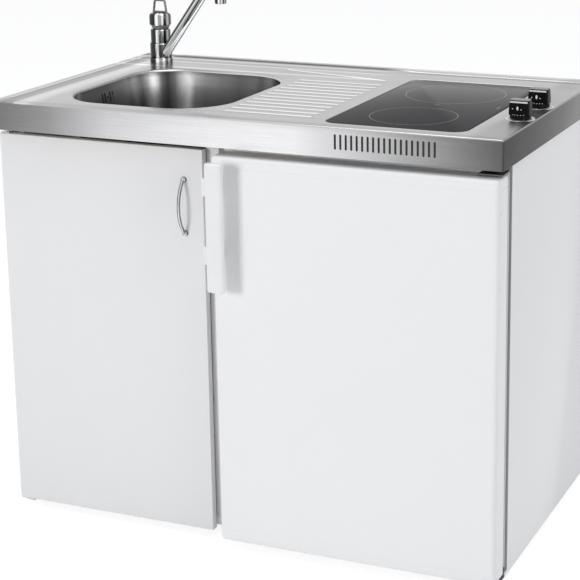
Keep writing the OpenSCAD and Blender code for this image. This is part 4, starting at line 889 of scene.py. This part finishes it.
def make_bowl():
    """The drawn bowl: walls that lean in a little, a round foot, and a floor down to the waste."""
    foot_inset, foot_z = 16.5, 700
    levels = [(0.4, 815.2), (0.9, 806), (3.5, 790), (8, 755), (13, 720), (foot_inset, foot_z)]
    for a in quarter(6)[1:]:
        levels.append((foot_inset + 30 * (1 - cos(a)), foot_z - 28.6 * sin(a)))
    rows = []
    for i, z in levels:
        rows.append((BOWL_X, BOWL_Y, BOWL_W - 2 * i, BOWL_D - 2 * i, max(BOWL_R - i, 30), z))
    for row in ((150, 180, 60, 670.6), (84, 84, 42, 670.2), (54, 54, 27, 669.9)):
        rows.append((BOWL_X, BOWL_Y, *row))
    bm = lofted(rows, 14, capped=False)
    bmesh.ops.recalc_face_normals(bm, faces=bm.faces)
    left = BOWL_X - BOWL_W / 2
    side = next(f for f in bm.faces if abs(f.calc_center_median().x - left) < 3)
    if side.normal.x < 0:
        bmesh.ops.reverse_faces(bm, faces=bm.faces)
    cutters = []
    holes = [(k, OVERFLOW_H, OVERFLOW_W) for k in (-2, -1, 1, 2)]
    for k, long, wide in holes + [(0, OVERFLOW_HOLE, OVERFLOW_HOLE)]:
        place = shift(left, BOWL_Y + k * OVERFLOW_STEP, OVERFLOW_Z)
        cutters.append(moved(slot_cutter(long, wide, -4, 26), place, turn(90, "Y")))
    # a black sheet behind the overflow slots: painted shade, so that the slots look dark inside
    seal = block((left - 3.2, left - 1.6), (BOWL_Y - 26, BOWL_Y + 26), (776, 804), 1, 0.3)
    piece("overflow_slot_shade", seal, "root", "black_rubber")
    piece("bowl_pressing", bm, "root", "bowl_steel", ("sink_bowl",), sharp=50,
          wall=BOWL_WALL, cutters=put_together(*cutters))


# ---------- tap ----------

# half sections of the turned parts, as (radius, height)
TAP_BODY = [(0, 774), (16.2, 774), (16.5, 774.6), (16.5, 819.4), (24, 820), (24, 829.5),
            (23.3, 831.2), (21.6, 832), (17, 832), (17, 861.6), (20.4, 861.6), (21, 862.2),
            (21, 888.6), (20.2, 889.8), (13.2, 890), (13.2, 884), (0, 884)]
SPOUT_COLLAR = [(17.2, 832.3), (22.2, 832.3), (23, 833.1), (23, 860.4), (22.2, 861.2),
                (17.2, 861.2), (17.2, 832.3)]
AERATOR = [(0, -10.5), (8, -10.5), (8.4, -11.7), (10.8, -11.9), (11.8, -11), (12, -0.8),
           (11.4, 0), (9, 0.2), (0, 0.2)]
LEVER_CAP = [(18.6, 899.2), (22.2, 899.1), (23, 900), (23, 917.5), (22.2, 920.6),
             (19.8, 922.9), (16, 923.8), (0, 924), (0, 920), (16, 919), (19, 912),
             (19.4, 903), (18.6, 899.2)]


def spout_tube():
    """The bent tube before it is swung round, and the place of its outlet."""
    start = Vector((16.0, 0, COLLAR_Z + COLLAR_H / 2 - 6))
    along = Vector((cos(SPOUT_SLOPE), 0, sin(SPOUT_SLOPE)))
    inward = Vector((sin(SPOUT_SLOPE), 0, -cos(SPOUT_SLOPE)))
    line = [start + along * 4] + [start + along * SPOUT_RUN * k / 6 for k in range(1, 6)]
    centre = start + along * SPOUT_RUN + inward * SPOUT_BEND
    line += arc(centre, SPOUT_BEND, 134, 0, 18)
    return rod(line, SPOUT_D, 24), centre + Vector((SPOUT_BEND, 0, 0))


def wire_loop():
    """The lever's loop of wire, with the bar across its foot."""
    half_low, half_top, low, high, bend, bar_z = 15.0, 12.0, 922.0, 949.5, 4.0, 925.4
    line = [(-half_low, 0, low), (-half_low + 0.3, 0, low + 4)]
    line += arc((-half_top + bend, 0, high - bend), bend, 175, 90, 5)
    line += arc((half_top - bend, 0, high - bend), bend, 90, 5, 5)
    line += [(half_low - 0.3, 0, low + 4), (half_low, 0, low)]
    bar = [(-half_low, 0, bar_z), (half_low, 0, bar_z)]
    return put_together(rod(line, 5, 16), rod(bar, 4.4, 16))


def make_tap():
    """The body, the spout that swings on it, and the lever's cap with its loop."""
    upright = shift(TAP_X, TAP_Y, 0)
    swung = (upright, Matrix.Rotation(SPOUT_TURN, 4, "Z"))
    tube, outlet = spout_tube()
    for name, shape, steps, body, finish, node in (
            ("tap_body_turned", turned(TAP_BODY), (upright,), "root", "chrome", "tap_body"),
            ("spout_collar", turned(SPOUT_COLLAR), swung, "spout", "chrome", "tap_spout"),
            ("spout_bent", tube, swung, "spout", "spout_chrome", "tap_spout"),
            ("aerator_turned", turned(AERATOR), (*swung, shift(*outlet)), "spout", "chrome",
             "tap_aerator"),
            ("lever_cap", turned(LEVER_CAP), (upright,), "lever", "chrome", "tap_lever"),
            ("lever_loop", wire_loop(), (upright,), "lever", "loop_chrome", "tap_lever")):
        piece(name, moved(shape, *steps), body, finish, (node,))


# ---------- hob ----------

# the skirt's half section as (radius, height), and the grip's levels as (inset, height)
KNOB_SKIRT = [(0, 0), (17.8, 0), (18.9, 0.6), (18.9, 5.6), (18.2, 7.4), (16.4, 8.4), (0, 9)]
KNOB_GRIP = [(0, 7), (0, 12), (0.5, 22), (1.2, 30.5), (1.7, 32), (2.6, 32.8), (4.2, 33)]


def make_hob():
    """The glass plate with its rounded upper edge."""
    levels = [(0.3, 816.1), (0, 816.5)]
    levels += [(1.1 * (1 - cos(a)), 818.8 + 1.2 * sin(a)) for a in quarter(4)]
    plate = [(HOB_X, HOB_Y, HOB_W - 2 * i, HOB_D - 2 * i, HOB_R - i, z) for i, z in levels]
    piece("glass_plate", lofted(plate, 10), "root", "hob_glass", ("hob_glass",), sharp=50)


def dot(inner, outer, steps, up=0.3):
    """A small printed dot, a little crowned."""
    return turned([(0, up), (inner, 0.2), (outer, 0), (0, -0.3)], steps)


def make_knob(node, y):
    """A round skirt with an upright block grip; a grey top and a light strip under the grip's
    front top edge, both painted highlight; printed dots on the grip's front and round the skirt.
    The knob's body has the same name as its node."""
    z, at = KNOB_Z, shift(KNOB_X, y, 0)
    skirt = turned([(r, z + up) for r, up in KNOB_SKIRT])
    grip = lofted([(0, 0, GRIP_W - 2 * i, GRIP_D - 2 * i, 3.0, z + up) for i, up in KNOB_GRIP], 5)
    piece(node + "_moulded", moved(put_together(skirt, grip), at), node, "black_plastic",
          (node,), sharp=40)
    # a grey plate on the grip's top: painted highlight, for the light the glossy top reflects
    cap = block((-17.2, 17.2), (-10.6, 10.6), (z + 32.4, z + 33.2), 3, 0.3)
    piece(node + "_cap", moved(cap, at), node, "knob_top_highlight")
    # a light strip under the grip's front top edge: painted highlight
    top_edge_highlight = block((-16, 16), (-12.3, -11.2), (z + 28.4, z + 31.2), 0.4, 0.3)
    tall = Matrix.Scale(1.9, 4, (0, 0, 1))
    marks = [top_edge_highlight, moved(dot(1.7, 1.9, 20), shift(-2, -12, z + 19), tall, turn(90, "X"))]
    for x, up in ((-11, 18), (4.5, 17)):
        marks.append(moved(dot(0.9, 1.0, 14), shift(x, -12, z + up), turn(90, "X")))
    for k in range(9):
        a = radians(200 + 17.5 * k)
        marks.append(moved(dot(0.7, 0.8, 12, 0.28), shift(17 * cos(a), 17 * sin(a), z + 8.15),
                           Matrix.Rotation(a, 4, "Z"), turn(30, "Y")))
    piece(node + "_marks", moved(put_together(*marks), at), node, "dial_print_and_highlight")


# ---------- cupboard ----------

def make_cupboard_door():
    """The plain door and its bow handle with a small foot at each end."""
    door = block((CUP_X0, CUP_X1), (CUP_Y0, CUP_Y1), (CUP_Z0, DOOR_TOP), 1.3, 1.2)
    piece("cupboard_front", door, "cupboard_door", "door_board", ("cupboard_door",), sharp=60)
    bend = (BOW_HALF * BOW_HALF + BOW_RISE * BOW_RISE) / (2 * BOW_RISE)
    spread = 2 * atan2(BOW_HALF, bend - BOW_RISE)
    middle = Vector((0, bend - BOW_RISE, 0))
    line = []
    for k in range(25):
        a = spread * (k / 24 - 0.5)
        line.append(middle + Vector((0, -bend * cos(a), bend * sin(a))))
    parts = [rod(line, BOW_D, 16)]
    for end in (-1, 1):
        foot = turned([(0, -2), (3.4, -2), (4.4, -1.2), (5.4, 2.4), (5.5, 4), (0, 4)], 28)
        parts.append(moved(foot, shift(0, 0, end * BOW_HALF), turn(-90, "X")))
    bow = moved(put_together(*parts), shift(BOW_X, BOW_Y, BOW_Z))
    piece("bow_handle_bent", bow, "cupboard_door", "chrome", ("bow_handle",))


# ---------- refrigerator front ----------

def make_cool_door():
    """The door's front, rolled at its top and bottom, with a fine groove near each."""
    mid_x, w, d = (COOL_X0 + COOL_X1) / 2, COOL_X1 - COOL_X0, COOL_Y1 - COOL_Y0
    low_roll, high_roll, groove = 4, 6, 0.5
    rows = [(low_roll * (1 - sin(a)), COOL_Z0 + low_roll * (1 - cos(a))) for a in quarter(4)]
    edges = ((18.6, 0), (19, groove), (19.8, groove), (20.2, 0))
    rows += [(inset, COOL_Z0 + up) for up, inset in edges]
    rows += [(inset, DOOR_TOP - down) for down, inset in reversed(edges)]
    rows += [(high_roll * (1 - cos(a)), DOOR_TOP - high_roll * (1 - sin(a))) for a in quarter(5)]
    levels = []
    for i, z in rows:
        levels.append((mid_x, COOL_Y0 + i + (d - i) / 2, w - 2 * i, d - i, (10 - i, 1.2), z))
    piece("cool_door_front", lofted(levels, 8), "fridge_door", "white_paint",
          ("fridge_door", "door_foam"), sharp=40)


def make_case_edge():
    """A dark grey strip along the right edge of the case's front, beside the door."""
    side = block((COOL_X1 - 0.3, COOL_X1 + 0.5), (45.2, 58), (26, 764), 0.3, 0.2)
    piece("case_edging", side, "root", "edge_plastic")


def make_bar_handle():
    """The bar with its rounded ends, on two mounts."""
    roll = 4
    rows = [(roll * (1 - sin(a)), BAR_TOP - BAR_LENGTH + roll * (1 - cos(a))) for a in quarter(4)]
    rows += [(roll * (1 - cos(a)), BAR_TOP - roll * (1 - sin(a))) for a in quarter(4)]
    levels = [(BAR_X, BAR_Y, BAR_W - 2 * i, BAR_D - 2 * i, 6 - i, z) for i, z in rows]
    parts = [lofted(levels, 7)]
    for foot in MOUNT_FEET:
        mount = lofted([(0, 0, MOUNT_W, MOUNT_H, 3, y) for y in (-48, -40, -24, -16, -13.5)], 5)
        parts.append(moved(mount, shift(MOUNT_X, 0, foot + MOUNT_H / 2), turn(-90, "X")))
    piece("bar_handle_moulded", put_together(*parts), "fridge_door", "white_plastic",
          ("bar_handle",), sharp=38)


# ---------- everything together ----------

# the CAD nodes that keep their shape: each one's finish, and how far its hard edges are eased
EASED = {
    "left_panel": ("white_board", 0.8), "divider_panel": ("white_board", 0.8),
    "base_panel": ("white_board", 0.6), "back_panel": ("hardboard", 0.3),
    "rear_rail": ("white_board", 0.6), "front_rail": ("zinc_steel", 0.3),
    "panel_glides": ("white_plastic", 0.6), "upper_pivot": ("zinc_steel", 0.3),
    "lower_pivot": ("zinc_steel", 0.3), "handle_screws": ("zinc_steel", 0.4),
    "worktop_frame": ("raw_wood", 0.8), "waste_flange": ("strainer_steel", 0.4),
    "sink_strainer": ("strainer_steel", 0.3), "overflow_pipe": ("pipe_plastic", 0.5),
    "waste_body": ("pipe_plastic", 0.5), "trap_cup": ("pipe_plastic", 0.8),
    "waste_pipe": ("pipe_plastic", 0.4), "tap_nut": ("brass", 0.6), "tap_tails": ("copper", 0.5),
    "tap_cartridge": ("grey_plastic", 0.4), "lever_pin": ("zinc_steel", 0.3),
    # the hob tray's black is painted shade, seen through the air slots
    "hob_seal": ("black_rubber", 0.0), "hob_tray": ("black_paint", 0.3),
    "front_heater": ("heater_ceramic", 0.5), "rear_heater": ("heater_ceramic", 0.5),
    "front_regulator": ("white_plastic", 0.8), "rear_regulator": ("white_plastic", 0.8),
    "front_spindle": ("zinc_steel", 0.2), "rear_spindle": ("zinc_steel", 0.2),
    "fridge_casing": ("white_paint", 0.45), "fridge_insulation": ("foam", 0.0),
    "fridge_liner": ("liner_plastic", 0.6), "fridge_feet": ("grey_plastic", 1.0),
    "condenser": ("black_paint", 0.0), "compressor": ("compressor_black", 1.6),
    "ice_box": ("aluminium", 0.5), "ice_flap": ("clear_plastic", 0.6),
    "glass_shelves": ("shelf_glass", 0.6), "crisper": ("clear_plastic", 0.6),
    "thermostat": ("liner_plastic", 1.2), "thermostat_dial": ("white_plastic", 0.8),
    "door_liner": ("liner_plastic", 0.7), "door_gasket": ("gasket_rubber", 1.5),
    "door_racks": ("clear_plastic", 0.6), "door_plugs": ("white_plastic", 0.2),
    # the hinges' dark zinc is painted shade
    "fridge_hinges": ("hinge_zinc_shaded", 0.4),
}


def build():
    set_camera()
    set_studio()
    make_finishes()
    make_worktop()
    make_bowl()
    make_tap()
    make_hob()
    make_knob("front_knob", FRONT_KNOB_Y)
    make_knob("rear_knob", REAR_KNOB_Y)
    make_cupboard_door()
    make_cool_door()
    make_case_edge()
    make_bar_handle()
    for node, (finish, width) in EASED.items():
        softened(node, finish, width)


build()
